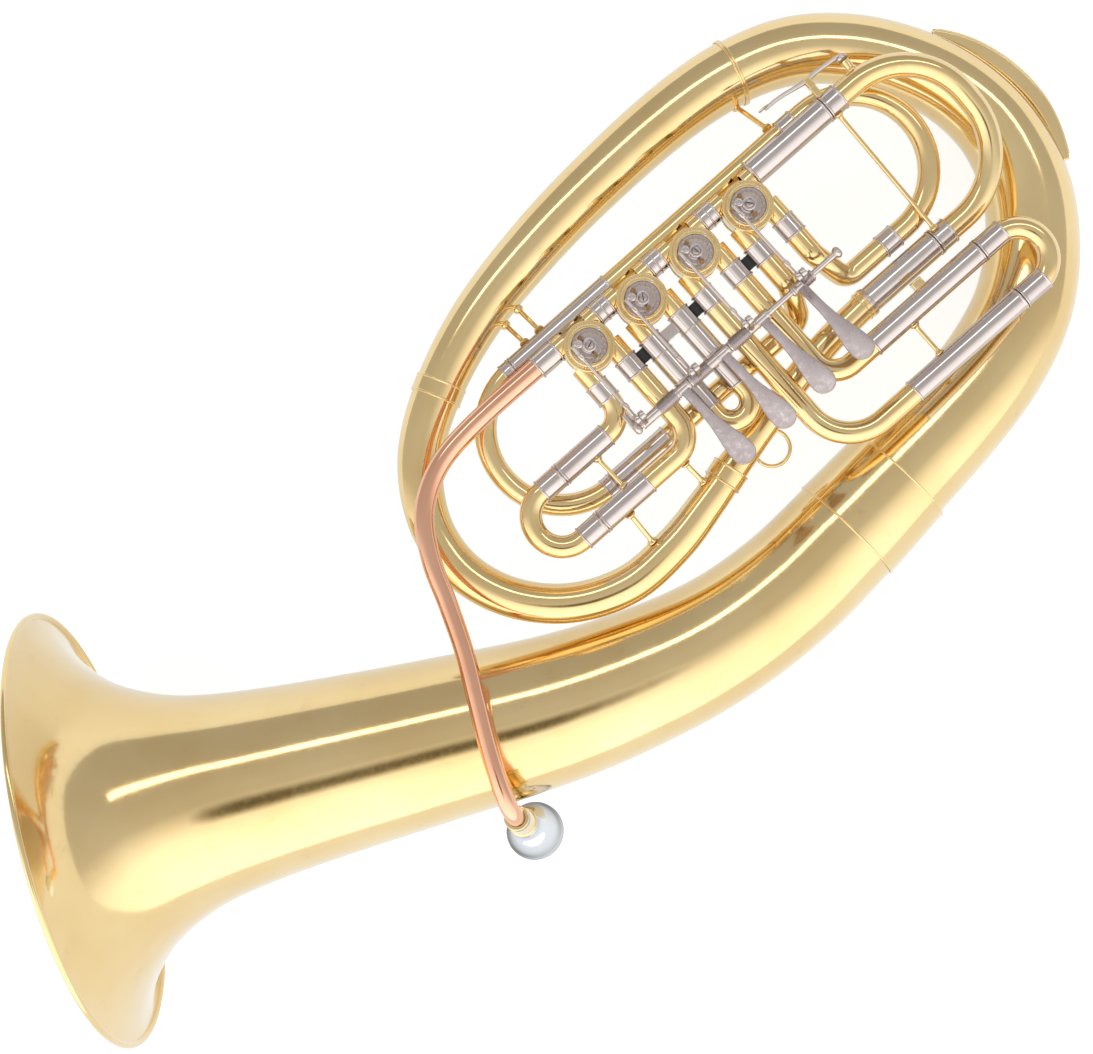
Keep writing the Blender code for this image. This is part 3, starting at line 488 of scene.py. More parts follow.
def slab(name, outline, low, high, place, material, nodes, bevel=0.4, bores=()):
    """A flat plate with rounded edges, from an outline in its own plane."""
    shape = bmesh.new()
    for z in (low, high):
        shape.faces.new([shape.verts.new((x, y, z)) for x, y in outline])
    under, over = shape.faces[:]
    count = len(outline)
    for k in range(count):
        shape.faces.new((under.verts[k], under.verts[(k + 1) % count],
                         over.verts[(k + 1) % count], over.verts[k]))
    bmesh.ops.recalc_face_normals(shape, faces=shape.faces)
    flat = [edge for edge in shape.edges if abs(edge.verts[0].co.z - edge.verts[1].co.z) < 1e-6]
    bmesh.ops.bevel(shape, geom=flat, offset=bevel, segments=3, profile=0.6, affect="EDGES")
    return publish(name, to_mesh(shape, name), place, material, nodes)


def torus(name, centre, axis, radius, wire, material, nodes, sides=64):
    """A wire ring round an axis."""
    profile = [(radius + wire * cos(a), wire * sin(a)) for a in (2 * pi * k / 14 for k in range(15))]
    return lathe(name, profile, place_at(centre, axis), material, nodes, sides)


def merged(name, shapes, place, material, nodes, smooth=40.0):
    """One piece from several bmeshes, each with its own matrix, all in millimetres."""
    whole = bmesh.new()
    for shape, matrix in shapes:
        part = bpy.data.meshes.new("part")
        bmesh.ops.transform(shape, matrix=matrix, verts=shape.verts)
        bmesh.ops.remove_doubles(shape, verts=shape.verts, dist=1e-4)
        bmesh.ops.recalc_face_normals(shape, faces=shape.faces)
        shape.to_mesh(part)
        shape.free()
        whole.from_mesh(part)
        bpy.data.meshes.remove(part)
    bmesh.ops.scale(whole, vec=(MM, MM, MM), verts=whole.verts)
    mesh = bpy.data.meshes.new(name)
    whole.to_mesh(mesh)
    whole.free()
    return publish(name, mesh, place, material, nodes, smooth)


def block(low, high, bevel=0.5):
    """A bmesh box with rounded edges."""
    shape = bmesh.new()
    bmesh.ops.create_cube(shape, size=1.0)
    low, high = Vector(low), Vector(high)
    size = high - low
    bmesh.ops.transform(shape, verts=shape.verts,
                        matrix=Matrix.Translation((low + high) / 2) @ Matrix.Diagonal((*size, 1.0)))
    bmesh.ops.bevel(shape, geom=shape.edges[:], offset=min(bevel, min(size) * 0.45), segments=3,
                    profile=0.6, affect="EDGES")
    return shape


def coil(name, start, end, radius, wire, turns, material, nodes):
    """A helical spring between two points."""
    start, end = Vector(start), Vector(end)
    axis = (end - start).normalized()
    across = axis.orthogonal().normalized()
    up = axis.cross(across)
    knots = []
    count = int(turns * 14)
    for i in range(count + 1):
        a = 2 * pi * turns * i / count
        point = start.lerp(end, i / count) + (across * cos(a) + up * sin(a)) * radius
        knots.append((*point, wire))
    return tube(name, knots, material, nodes, sides=8, wall=wire * 0.6)


def valve_x(number):
    return number * VALVE_PITCH


# ---------------------------------------------------------------- bell and conical tube

def bell_knots():
    along = BELL_TAIL_START - BELL_RIM
    flare = [(*(BELL_RIM + along * (distance / along.length)), radius) for distance, radius in BELL_FLARE]
    return smooth_route([*flare, *BELL_TAIL], 4.0)


def build_bell():
    tube("bell_body", bell_knots(), BRASS, "bell", sides=96, wall=0.8)
    along = (BELL_TAIL_START - BELL_RIM).normalized()
    torus("bell_rim_wire", BELL_RIM + along * 0.5, along, 146.3, 2.3, BRASS, "bell", sides=128)


def build_garland():
    """The band over the joint between bell and bow, with a bead at each end."""
    whole = smooth_route([*BELL_TAIL, *BOW], 4.0)
    first, last = nearest(whole, BELL_TAIL[-1]), nearest(whole, BOW[0])
    band = [(*knot[:3], knot[3] + 0.9) for knot in whole[first:last + 1]]
    tube("garland_band", band, BRASS, "bell_garland", sides=96, wall=0.7)
    for word, end, beside in (("start", band[0], band[1]), ("end", band[-1], band[-2])):
        centre = Vector(end[:3])
        torus(f"garland_bead_{word}", centre, centre - Vector(beside[:3]), end[3] - 0.1, 0.75, BRASS,
              "bell_garland", sides=128)


def build_bow_and_branch():
    joined = smooth_route([*BOW, *BRANCH, *BRANCH_END], 4.0)
    cuts = [0, nearest(joined, BOW[-1]), nearest(joined, BRANCH[-1]), len(joined) - 1]
    pieces = (("bow_tube", "outer_bow", 72, 0.9), ("branch_tube", "top_branch", 56, 0.2),
              ("crook_tube", "branch_crook", 56, 0.2))
    for (name, cad, sides, trim), low, high in zip(pieces, cuts, cuts[1:]):
        knots = [(*knot[:3], knot[3] - trim) for knot in joined[low:high + 1]]
        tube(name, knots, BRASS, cad, sides=sides)
    for name, cut, half, nodes in (("bow_branch_ferrule", cuts[1], 1.6, ("outer_bow", "top_branch")),
                                   ("branch_crook_ferrule", cuts[2], 6.0, ("top_branch", "branch_crook"))):
        ring = Vector(joined[cut][:3])
        run = Vector((joined[cut + 1] - joined[cut - 1])[:3]).normalized()
        sleeve(name, ring - run * half, ring + run * half, joined[cut][3] + 0.55, BRASS, nodes, sides=64)
    tube("receiver_tube", smooth_route(RECEIVER, 4.0), BRASS, "tuning_receiver", sides=40)
    middle = Vector(BRANCH_END[-1]).lerp(Vector(RECEIVER[0]), 0.5)
    run = Vector((Vector(RECEIVER[0]) - Vector(BRANCH_END[-1]))[:3]).normalized()
    centre = Vector(middle[:3])
    sleeve("branch_receiver_ferrule", centre - run * 6.0, centre + run * 6.0, 12.6, BRASS, "branch_ferrule",
           sides=48)
    end = Vector(RECEIVER[-1][:3])
    sleeve("receiver_end", end - X_AXIS * 5.0, end, 9.9, BRASS, "tuning_receiver")


def build_bow_guard():
    """A rounded crescent rail soldered to the outside of the bow, with a lip along its crown."""
    route = smooth_route(BOW[5:9], 4.0)
    inner, outer = [], []
    for i in range(1, len(route) - 1):
        run = Vector((route[i + 1] - route[i - 1])[:2]).normalized()
        out = Vector((run.y, -run.x))
        share = i / (len(route) - 1)
        crown = 7.5 * sin(pi * share) ** 0.8
        base = Vector(route[i][:2]) + out * (route[i][3] - 1.8)
        inner.append(tuple(base))
        outer.append(tuple(base + out * (2.8 + crown)))
    middle = BOW[7][2]
    slab("bow_guard_rail", inner + outer[::-1], middle - 6.8, middle + 6.8, HERE, BRASS, "bow_guard", bevel=1.4)
    for side in (-1, 1):
        knots = [(x, y, middle + side * 4.6, 0.9) for x, y in outer[1:-1]]
        tube(f"bow_guard_bead_{'low' if side < 0 else 'high'}", knots, BRASS, "bow_guard", sides=10, wall=0.5)


# ---------------------------------------------------------------- valves

def knurled(radius, low, high, teeth, depth=0.35):
    """A bmesh band whose edge is cut into fine teeth, closed above and below."""
    shape = bmesh.new()
    count = teeth * 4
    rings = []
    for z, rise in ((low, 0.0), (low + 0.35, 1.0), (high - 0.35, 1.0), (high, 0.0)):
        ring = []
        for k in range(count):
            cut = depth if k % 4 in (0, 1) else 0.0
            r = radius - 0.35 + (0.35 - cut) * rise
            ring.append(shape.verts.new((*polar(r, 2 * pi * k / count), z)))
        rings.append(ring)
    bridge(shape, rings)
    shape.faces.new(rings[0][::-1])
    shape.faces.new(rings[-1])
    return shape


def build_casing(number):
    x = valve_x(number)
    label = str(number + 1)
    cad = "valve_casing_" + label
    axis = place_at((x, VALVE_Y, 0.0))
    r = CASING_RADIUS
    wall = [(r - 2.4, CASING_BOTTOM + 2.0), (r - 2.4, CASING_TOP), (r - 0.4, CASING_TOP),
            (r, CASING_TOP - 0.5), (r, CASING_TOP - 3.6), (r - 0.7, CASING_TOP - 4.2),
            (r - 0.7, CASING_BOTTOM + 4.4), (r, CASING_BOTTOM + 3.8), (r, CASING_BOTTOM + 2.4),
            (r - 2.4, CASING_BOTTOM + 2.0)]
    lathe("casing_" + label, eased(wall, 0.3), axis, BRASS, cad, 64)
    low = CASING_BOTTOM
    cover = [(0.0, low + 0.2), (3.2, low + 0.2), (4.0, low + 0.9), (6.5, low + 0.9), (7.2, low + 0.3),
             (10.5, low + 0.3), (11.2, low), (r - 1.6, low), (r - 0.7, low + 0.5), (r - 0.7, low + 2.4),
             (0.0, low + 2.4)]
    lathe("bottom_cap_" + label, eased(cover, 0.25), axis, BRASS, cad, 64)
    merged("bottom_cap_edge_" + label, [(knurled(r + 0.1, low + 0.5, low + 2.3, 60), HERE)],
           axis, BRASS, cad, 25.0)

    for side, word in ((-1, "left"), (1, "right")):
        port_x = x + side * PORT_OFFSET
        tube(f"port_{word}_{label}", [(port_x, y, 0.0, TUBE - 0.1) for y in (-8.0, -14.0, PORT_END_Y)],
             BRASS, cad)
        stub = [(x + side * d, ROW_LINE_Y, 0.0, TUBE - 0.1) for d in (9.0, 13.0, CASING_RADIUS)]
        tube(f"row_stub_{word}_{label}", stub, BRASS, cad)


def build_cap(number):
    """The upper bearing plate: a stepped face and rosette in a knurled ring, with cork bumpers."""
    label = str(number + 1)
    cad = "valve_cap_" + label
    axis = place_at((valve_x(number), VALVE_Y, CASING_TOP + GAP))
    face = [(3.0, 0.0), (3.0, 2.8), (4.4, 2.8), (4.9, 2.2), (7.6, 2.2),
            (8.0, 1.8), (8.4, 2.1), (11.2, 2.1), (11.2, 0.0), (3.0, 0.0)]
    lathe("cap_face_" + label, eased(face, 0.2), axis, STEEL, cad, 64)
    petals = []
    for k in range(16):
        petal = block((8.6, -0.75, 1.8), (10.9, 0.75, 2.75), 0.45)
        petals.append((petal, Matrix.Rotation(2 * pi * (k + 0.5) / 16, 4, "Z")))
    merged("cap_rosette_" + label, petals, axis, STEEL, cad)
    ring = [(11.1, 0.0), (11.1, 2.7), (11.6, 3.1), (13.1, 3.1), (13.7, 2.5), (13.7, 0.0), (11.1, 0.0)]
    lathe("cap_ring_" + label, eased(ring, 0.2), axis, BRASS, cad, 64)
    rim = [(knurled(14.6, 0.0, 2.0, 52), HERE)]
    merged("cap_rim_" + label, rim, axis, BRASS, cad, 25.0)
    for angle, word in ((102.0, "rest"), (258.0, "pressed")):
        centre = Matrix.Translation((*polar(7.6, radians(angle)), 0.0))
        shoe = revolve(eased([(0.0, 1.6), (2.3, 1.6), (2.3, 3.4), (0.0, 3.4)], 0.3), 20)
        merged(f"bumper_base_{word}_{label}", [(shoe, centre)], axis, NICKEL, cad)
        cork = revolve(eased([(0.0, 3.3), (1.85, 3.3), (1.85, 8.6), (0.0, 8.8)], 0.4), 20)
        merged(f"bumper_cork_{word}_{label}", [(cork, centre)], axis, CORK, cad)
    for k in range(2):
        spot = Matrix.Translation((*polar(12.3, radians(20.0 + 180.0 * k)), 0.0))
        head = revolve(eased([(0.0, 2.9), (1.1, 2.9), (1.1, 3.4), (0.0, 3.6)], 0.2), 16)
        merged(f"cap_screw_{k + 1}_{label}", [(head, spot)], axis, NICKEL, cad)


def build_rotor(number):
    """Rotor core with its spindle, and the stop arm with its post and centre screw."""
    label = str(number + 1)
    axis = place_at((valve_x(number), VALVE_Y, 0.0))
    low, high = CASING_BOTTOM + 2.6, CASING_TOP - 2.2
    core = [(0.0, low), (13.4, low), (13.4, high), (2.4, high), (2.4, STOP_Z - 2.4), (0.0, STOP_Z - 2.4)]
    lathe("rotor_core_" + label, eased(core, 0.4), axis, NICKEL, "rotor_" + label, 48)
    top = place_at((valve_x(number), VALVE_Y, STOP_Z))
    arm = "stop_arm_" + label
    hub = [(0.0, -2.0), (4.2, -2.0), (4.6, -1.4), (4.6, 1.2), (4.0, 1.9), (3.1, 1.9), (3.0, 1.5), (0.0, 1.5)]
    lathe("stop_hub_" + label, eased(hub, 0.25), top, NICKEL, arm, 40)
    screw = [(0.0, 1.4), (2.6, 1.4), (2.6, 2.2), (1.9, 2.8), (0.0, 3.0)]
    lathe("stop_screw_" + label, eased(screw, 0.25), top, STEEL, arm, 32)
    # The slot across the screw head is a thin black bar: painted shade for the recess of the slot.
    slot = [(block((-2.3, -0.3, 2.7), (2.3, 0.3, 3.12), 0.1),
             Matrix.Rotation(radians(20.0 + 37.0 * number), 4, "Z"))]
    merged("screw_slot_" + label, slot, top, SHADE_BLACK, arm)
    post = revolve(eased([(0.0, -2.0), (2.2, -2.0), (2.2, 3.2), (1.5, 4.0), (0.0, 4.0)], 0.3), 28)
    merged("stop_post_" + label, [(post, Matrix.Translation(STOP_TIP))], top, NICKEL, arm)


def build_row():
    for number in range(4):
        build_casing(number)
        build_cap(number)
        build_rotor(number)
    for number in range(3):
        label = str(number + 1)
        cad = "valve_connector_" + label
        low = valve_x(number) + CASING_RADIUS - 0.4
        high = valve_x(number + 1) - CASING_RADIUS + 0.4
        start, end = Vector((low, ROW_LINE_Y, 0.0)), Vector((high, ROW_LINE_Y, 0.0))
        sleeve("connector_" + label, start, end, SLEEVE, NICKEL, cad)
        torus("connector_ring_" + label, (start + end) / 2, X_AXIS, SLEEVE, 0.6, NICKEL, cad)
        # The plate between two port ferrules is coloured black as painted shade, standing for the shade and
        # dark reflection in the gap.
        plate = block((-2.6, -4.5, -0.9), (2.6, 4.5, 0.9), 0.5)
        centre = Vector((valve_x(number) + VALVE_PITCH / 2, -29.0, 0.0))
        merged("ferrule_plate_" + label, [(plate, HERE)], place_at(centre), SHADE_BLACK, cad)


# ---------------------------------------------------------------- levers and links

LEVER_SPANS = ((-8.5, 31.0, 26.5), (32.0, 64.5, 60.0), (65.5, 98.0, 93.0), (118.0, 136.0, 125.0))


def crank_tip(number):
    lean = radians(CRANK_LEAN)
    return Vector((valve_x(number) + LINK_OFFSET, AXLE_Y + CRANK_LENGTH * sin(lean),
                   AXLE_Z + CRANK_LENGTH * cos(lean)))


def build_axle():
    cad = "lever_axle"
    rod("axle_rod", (-14.0, AXLE_Y, AXLE_Z), (158.5, AXLE_Y, AXLE_Z), 2.0, NICKEL, cad, ends=False)
    knob = [(0.0, 0.0), (2.4, 0.1), (3.6, 1.2), (4.0, 2.5), (3.6, 3.8), (2.6, 4.7), (2.2, 5.2), (0.0, 5.2)]
    lathe("axle_knob_left", eased(knob, 0.3), place_at((-14.5, AXLE_Y, AXLE_Z), X_AXIS), NICKEL, cad)
    lathe("axle_knob_right", eased(knob, 0.3), place_at((159.0, AXLE_Y, AXLE_Z), -X_AXIS), NICKEL, cad)
    bracket = block((-14.5, -61.0, 8.1), (-9.5, -49.0, 11.4), 0.8)
    ear = block((-13.6, AXLE_Y - 3.4, 8.2), (-10.4, AXLE_Y + 3.4, AXLE_Z + 3.2), 1.2)
    merged("axle_bracket", [(bracket, HERE), (ear, HERE)], HERE, NICKEL, cad)
    post = block((153.7, AXLE_Y - 2.4, 5.5), (158.3, AXLE_Y + 2.4, AXLE_Z + 1.0), 1.0)
    merged("axle_post", [(post, HERE)], HERE, NICKEL, cad)


def paddle_outline():
    half_arm, half_tip = 3.2, 8.0
    right = [(half_arm, 0.0), (half_arm, -14.0), (half_arm + 0.1, -22.0), (half_arm + 0.8, -31.0),
             (half_arm + 2.1, -39.0), (half_tip - 1.2, -47.0), (half_tip - 0.2, -53.0)]
    shape = [(-x, y) for x, y in right]
    for i in range(17):
        turn = pi + pi * i / 16
        shape.append((half_tip * cos(turn), -59.0 + half_tip * sin(turn)))
    return shape + right[::-1]


def build_lever(number):
    low, high, paddle_x = LEVER_SPANS[number]
    label = str(number + 1)
    cad = "lever_" + label
    crank_x = valve_x(number) + LINK_OFFSET
    start, end = Vector((low, AXLE_Y, AXLE_Z)), Vector((high, AXLE_Y, AXLE_Z))
    sleeve("lever_sleeve_" + label, start, end, 3.5, NICKEL, cad, bore=1.2, beads=(0.4, 0.4), sides=32)
    for offset, word in ((-4.6, "a"), (4.6, "b")):
        spot = Vector((paddle_x + offset, AXLE_Y, AXLE_Z))
        torus(f"lever_collar_{word}_{label}", spot, X_AXIS, 3.4, 0.55, NICKEL, cad, sides=32)
    length = min(15.0, high - low - 10.0)
    spring_low = low + 1.6 if paddle_x - low > high - paddle_x else high - 1.6 - length
    if number == 0:
        spring_low = 6.0
    coil("lever_spring_" + label, (spring_low, AXLE_Y, AXLE_Z), (spring_low + length, AXLE_Y, AXLE_Z), 4.1,
         0.5, length / 1.25, STEEL, cad)
    lean = Matrix.Rotation(radians(-CRANK_LEAN), 4, "X")
    arm = block((-1.5, -2.3, 0.0), (1.5, 2.3, CRANK_LENGTH), 0.5)
    merged("crank_" + label, [(arm, Matrix.Translation((crank_x, AXLE_Y, AXLE_Z)) @ lean)], HERE, NICKEL, cad)
    tip = crank_tip(number)
    boss = [(0.0, 0.0), (2.9, 0.0), (2.9, 3.8), (0.0, 3.8)]
    lathe("crank_boss_" + label, eased(boss, 0.4), place_at(tip - X_AXIS * 1.9, X_AXIS), NICKEL, cad, 32)
    pin = [(0.0, 0.0), (1.4, 0.0), (1.4, 6.0), (0.0, 6.0)]
    lathe("crank_pin_" + label, eased(pin, 0.2), place_at(tip - X_AXIS * 6.1, X_AXIS), STEEL, cad, 20)
    rise = Matrix.Rotation(radians(-LEVER_REST_ANGLE), 4, "X")
    seat = Matrix.Translation(Vector((paddle_x, AXLE_Y, AXLE_Z + 1.5)) * MM) @ rise
    slab("paddle_" + label, paddle_outline(), -0.9, 0.9, seat, STEEL, cad, bevel=0.55)
    rib = block((-0.9, -40.0, -1.9), (0.9, -3.0, -0.7), 0.35)
    merged("paddle_rib_" + label, [(rib, HERE)], seat, NICKEL, cad)


def build_link(number):
    label = str(number + 1)
    cad = "link_" + label
    start = crank_tip(number) + X_AXIS * EYE_OFFSET
    stop = Vector((valve_x(number), VALVE_Y, 0.0)) + STOP_TIP
    end = Vector((start.x, stop.y, STOP_Z + 8.0))
    run = (end - start).normalized()
    eye = [(1.7, -1.5), (3.2, -1.5), (3.2, 1.5), (1.7, 1.5), (1.7, -1.5)]
    lathe("link_eye_" + label, eased(eye, 0.35), place_at(start, X_AXIS), NICKEL, cad, 36)
    length = (end - start).length
    shaft = [(0.0, 0.0), (1.3, 0.0), (1.3, 6.0), (1.9, 6.3), (1.9, 9.7), (1.3, 10.0), (1.15, 12.0),
             (1.15, length - 14.0), (1.3, length - 12.0), (1.9, length - 11.6), (1.9, length - 8.4),
             (1.3, length - 8.0), (1.3, length - 2.4), (0.0, length - 2.4)]
    lathe("link_rod_" + label, eased(shaft, 0.25), place_at(start + run * 2.6, run), NICKEL, cad, 20)
    seat = Matrix.Translation((stop.x - 1.0, stop.y, 0.0))
    cup = revolve(eased([(0.0, STOP_Z + 4.5), (2.5, STOP_Z + 4.5), (2.8, STOP_Z + 5.4), (2.8, STOP_Z + 7.4),
                         (2.0, STOP_Z + 8.0), (0.0, STOP_Z + 8.0)], 0.3), 32)
    web = block((start.x - 1.2, stop.y - 1.5, STOP_Z + 5.2), (stop.x - 1.0, stop.y + 1.5, STOP_Z + 7.6), 0.5)
    merged("link_socket_" + label, [(cup, seat), (web, HERE)], HERE, NICKEL, cad)
    screw = revolve(eased([(0.0, STOP_Z + 7.9), (1.3, STOP_Z + 7.9), (1.3, STOP_Z + 8.4), (0.0, STOP_Z + 8.7)],
                          0.2), 20)
    merged("link_screw_" + label, [(screw, seat)], HERE, STEEL, cad)


# ---------------------------------------------------------------- valve slides

def port(number, side):
    return Vector((valve_x(number) + side * PORT_OFFSET, PORT_END_Y - GAP, 0.0))


def port_ferrule(number, side, cad):
    start = port(number, side)
    start.y = PORT_END_Y + 0.2
    word = "left" if side < 0 else "right"
    end = Vector((start.x, PORT_FERRULE_END_Y, 0.0))
    sleeve(f"port_ferrule_{word}_{number + 1}", start, end, SLEEVE, NICKEL, cad)


def slide_crook(name, corners, joint, ferrule_end):
    """A pull-out slide: its bow, the two end ferrules and the inner legs that run in the sleeves.

    corners go from the tip of one leg round the bow to the tip of the other. joint and
    ferrule_end are where the sleeve ends and where the bow starts, along the legs.
    """
    cad = name.replace("_slide", "_valve_slide")
    first, last = Vector(corners[0][0]), Vector(corners[-1][0])
    run = (Vector(corners[1][0]) - first).normalized()
    shift = run.dot(ferrule_end - joint)
    for k, tip in enumerate((first, last)):
        meet = tip + run * run.dot(joint - tip)
        word = "ab"[k]
        inner = [(*(meet.lerp(tip, t)), INNER_LEG) for t in (1.0, 0.5, 0.0)]
        inner.append((*(meet + run * 3.0), INNER_LEG))
        tube(f"{name}_leg_{word}", inner, NICKEL, cad, sides=32)
        sleeve(f"{name}_ferrule_{word}", meet + run * GAP, meet + run * shift, SLEEVE, NICKEL, cad)
    inside = [(first + run * (run.dot(joint - first) + shift - 3.0), 0)]
    inside += list(corners[1:-1])
    inside.append((last + run * (run.dot(joint - last) + shift - 3.0), 0))
    tube(f"{name}_bow", rounded_route(inside, TUBE), BRASS, cad, sides=36)


def build_first_slide():
    high_y, low_y = V1_LEG_YS
    left, right = port(0, -1), port(0, 1)
    cad = "first_valve_tubes"
    a = rounded_route([(left, 0), ((left[0], high_y, 0), 15), ((V1_JOINT_X + 30.0, high_y, 0), 0)], TUBE)
    b = rounded_route([(right, 0), ((right[0], low_y, 0), 17), ((V1_JOINT_X + 30.0, low_y, 0), 0)], TUBE)
    tube("first_upper_tube", a, BRASS, cad)
    tube("first_lower_tube", b, BRASS, cad)
    for y, word in ((high_y, "upper"), (low_y, "lower")):
        sleeve(f"first_sleeve_{word}", (-28.0, y, 0.0), (V1_JOINT_X, y, 0.0), SLEEVE, NICKEL, cad)
    for side in (-1, 1):
        port_ferrule(0, side, cad)
    rod("first_brace", (-43.0, high_y - 7.5, 0.0), (-42.0, low_y + 7.5, 0.0), 1.5, BRASS, cad)
    corners = [((-33.5, high_y, 0), 0), ((V1_CROOK_END_X, high_y, 0), 19.9),
               ((V1_CROOK_END_X, low_y, 0), 19.9), ((-33.5, low_y, 0), 0)]
    slide_crook("first_slide", corners, Vector((V1_JOINT_X, 0, 0)), Vector((-84.0, 0, 0)))


def build_second_slide():
    left, right = port(1, -1), port(1, 1)
    cad = "second_valve_tubes"
    for start, word in ((left, "left"), (right, "right")):
        top = Vector((start.x, PORT_END_Y + 0.2, 0.0))
        sleeve(f"second_sleeve_{word}", top, (start.x, V2_JOINT_Y, 0.0), SLEEVE, NICKEL, cad)
        torus(f"second_ring_{word}", (start.x, -36.0, 0.0), Y_AXIS, SLEEVE, 0.55, NICKEL, cad)
    plate = block((left.x + 7.0, -33.0, -1.4), (right.x - 7.0, -25.0, 1.4), 0.6)
    merged("second_plate", [(plate, HERE)], HERE, NICKEL, cad)
    corners = [((left.x, -26.0, 0), 0), ((left.x, V2_CROOK_END_Y, 0), 12.2),
               ((right.x, V2_CROOK_END_Y, 0), 12.2), ((right.x, -26.0, 0), 0)]
    slide_crook("second_slide", corners, Vector((0, V2_JOINT_Y, 0)), Vector((0, -83.0, 0)))


def build_third_slide():
    near_y, far_y = V3_LEG_YS
    left, right = port(2, -1), port(2, 1)
    cad = "third_valve_tubes"
    a = rounded_route([(left, 0), ((left[0], far_y, 0), 33), ((150.0, far_y, 0), 0)], TUBE)
    b = rounded_route([(right, 0), ((right[0], near_y, 0), 17), ((150.0, near_y, 0), 0)], TUBE)
    tube("third_outer_tube", a, BRASS, cad, sides=36)
    tube("third_inner_tube", b, BRASS, cad, sides=36)
    for y, word in ((near_y, "inner"), (far_y, "outer")):
        sleeve(f"third_sleeve_{word}", (136.0, y, 0.0), (V3_JOINT_X, y, 0.0), SLEEVE, NICKEL, cad)
    for side in (-1, 1):
        port_ferrule(2, side, cad)
    rod("third_brace", (165.0, near_y - 7.6, 0.0), (165.0, far_y + 7.6, 0.0), 1.6, BRASS, cad)
    merged("third_block", [(block((180.0, -113.6, -7.0), (188.0, -107.6, 1.5), 1.0), HERE)], HERE, BRASS, cad)
    corners = [((141.0, near_y, 0), 0), ((V3_CROOK_END_X, near_y, 0), 19.9),
               ((V3_CROOK_END_X, far_y, 0), 19.9), ((141.0, far_y, 0), 0)]
    slide_crook("third_slide", corners, Vector((V3_JOINT_X, 0, 0)), Vector((247.0, 0, 0)))


def build_fourth_slide():
    high_y, low_y = V4_LEG_YS
    left, right = port(3, -1), port(3, 1)
    short_cad, long_cad = "fourth_valve_tube_short", "fourth_valve_tube_long"
    short = rounded_route([(left, 0), ((left[0], -56.0, 0), 10), ((115.0, low_y, LOOP_Z), 10),
                           ((-20.0, low_y, LOOP_Z), 0)], TUBE)
    tube("fourth_short_tube", short, BRASS, short_cad)
    turn = (high_y - low_y) / 2 - 0.3
    long = rounded_route([(right, 0), ((right[0], -52.0, 0), 10), ((155.0, low_y, LOOP_Z), 10),
                          ((V4_RIGHT_END_X, low_y, LOOP_Z), turn), ((V4_RIGHT_END_X, high_y, LOOP_Z), turn),
                          ((-20.0, high_y, LOOP_Z), 0)], TUBE)
    tube("fourth_long_tube", long, BRASS, long_cad)
    port_ferrule(3, -1, short_cad)
    port_ferrule(3, 1, long_cad)
    sleeve("fourth_sleeve_lower", (2.0, low_y, LOOP_Z), (V4_JOINT_X, low_y, LOOP_Z), SLEEVE, NICKEL, short_cad)
    sleeve("fourth_sleeve_upper", (38.0, high_y, LOOP_Z), (V4_JOINT_X, high_y, LOOP_Z), SLEEVE, NICKEL,
           long_cad)
    for y, word in ((low_y, "lower"), (high_y, "upper")):
        sleeve(f"fourth_joint_{word}", (185.0, y, LOOP_Z), (198.0, y, LOOP_Z), SLEEVE, NICKEL, long_cad)
    corners = [((-3.0, high_y, LOOP_Z), 0), ((V4_CROOK_END_X, high_y, LOOP_Z), turn),
               ((V4_CROOK_END_X, low_y, LOOP_Z), turn), ((-3.0, low_y, LOOP_Z), 0)]
    slide_crook("fourth_slide", corners, Vector((V4_JOINT_X, 0, 0)), Vector((V4_JOINT_X - 8.0, 0, 0)))


# ---------------------------------------------------------------- main tuning slide

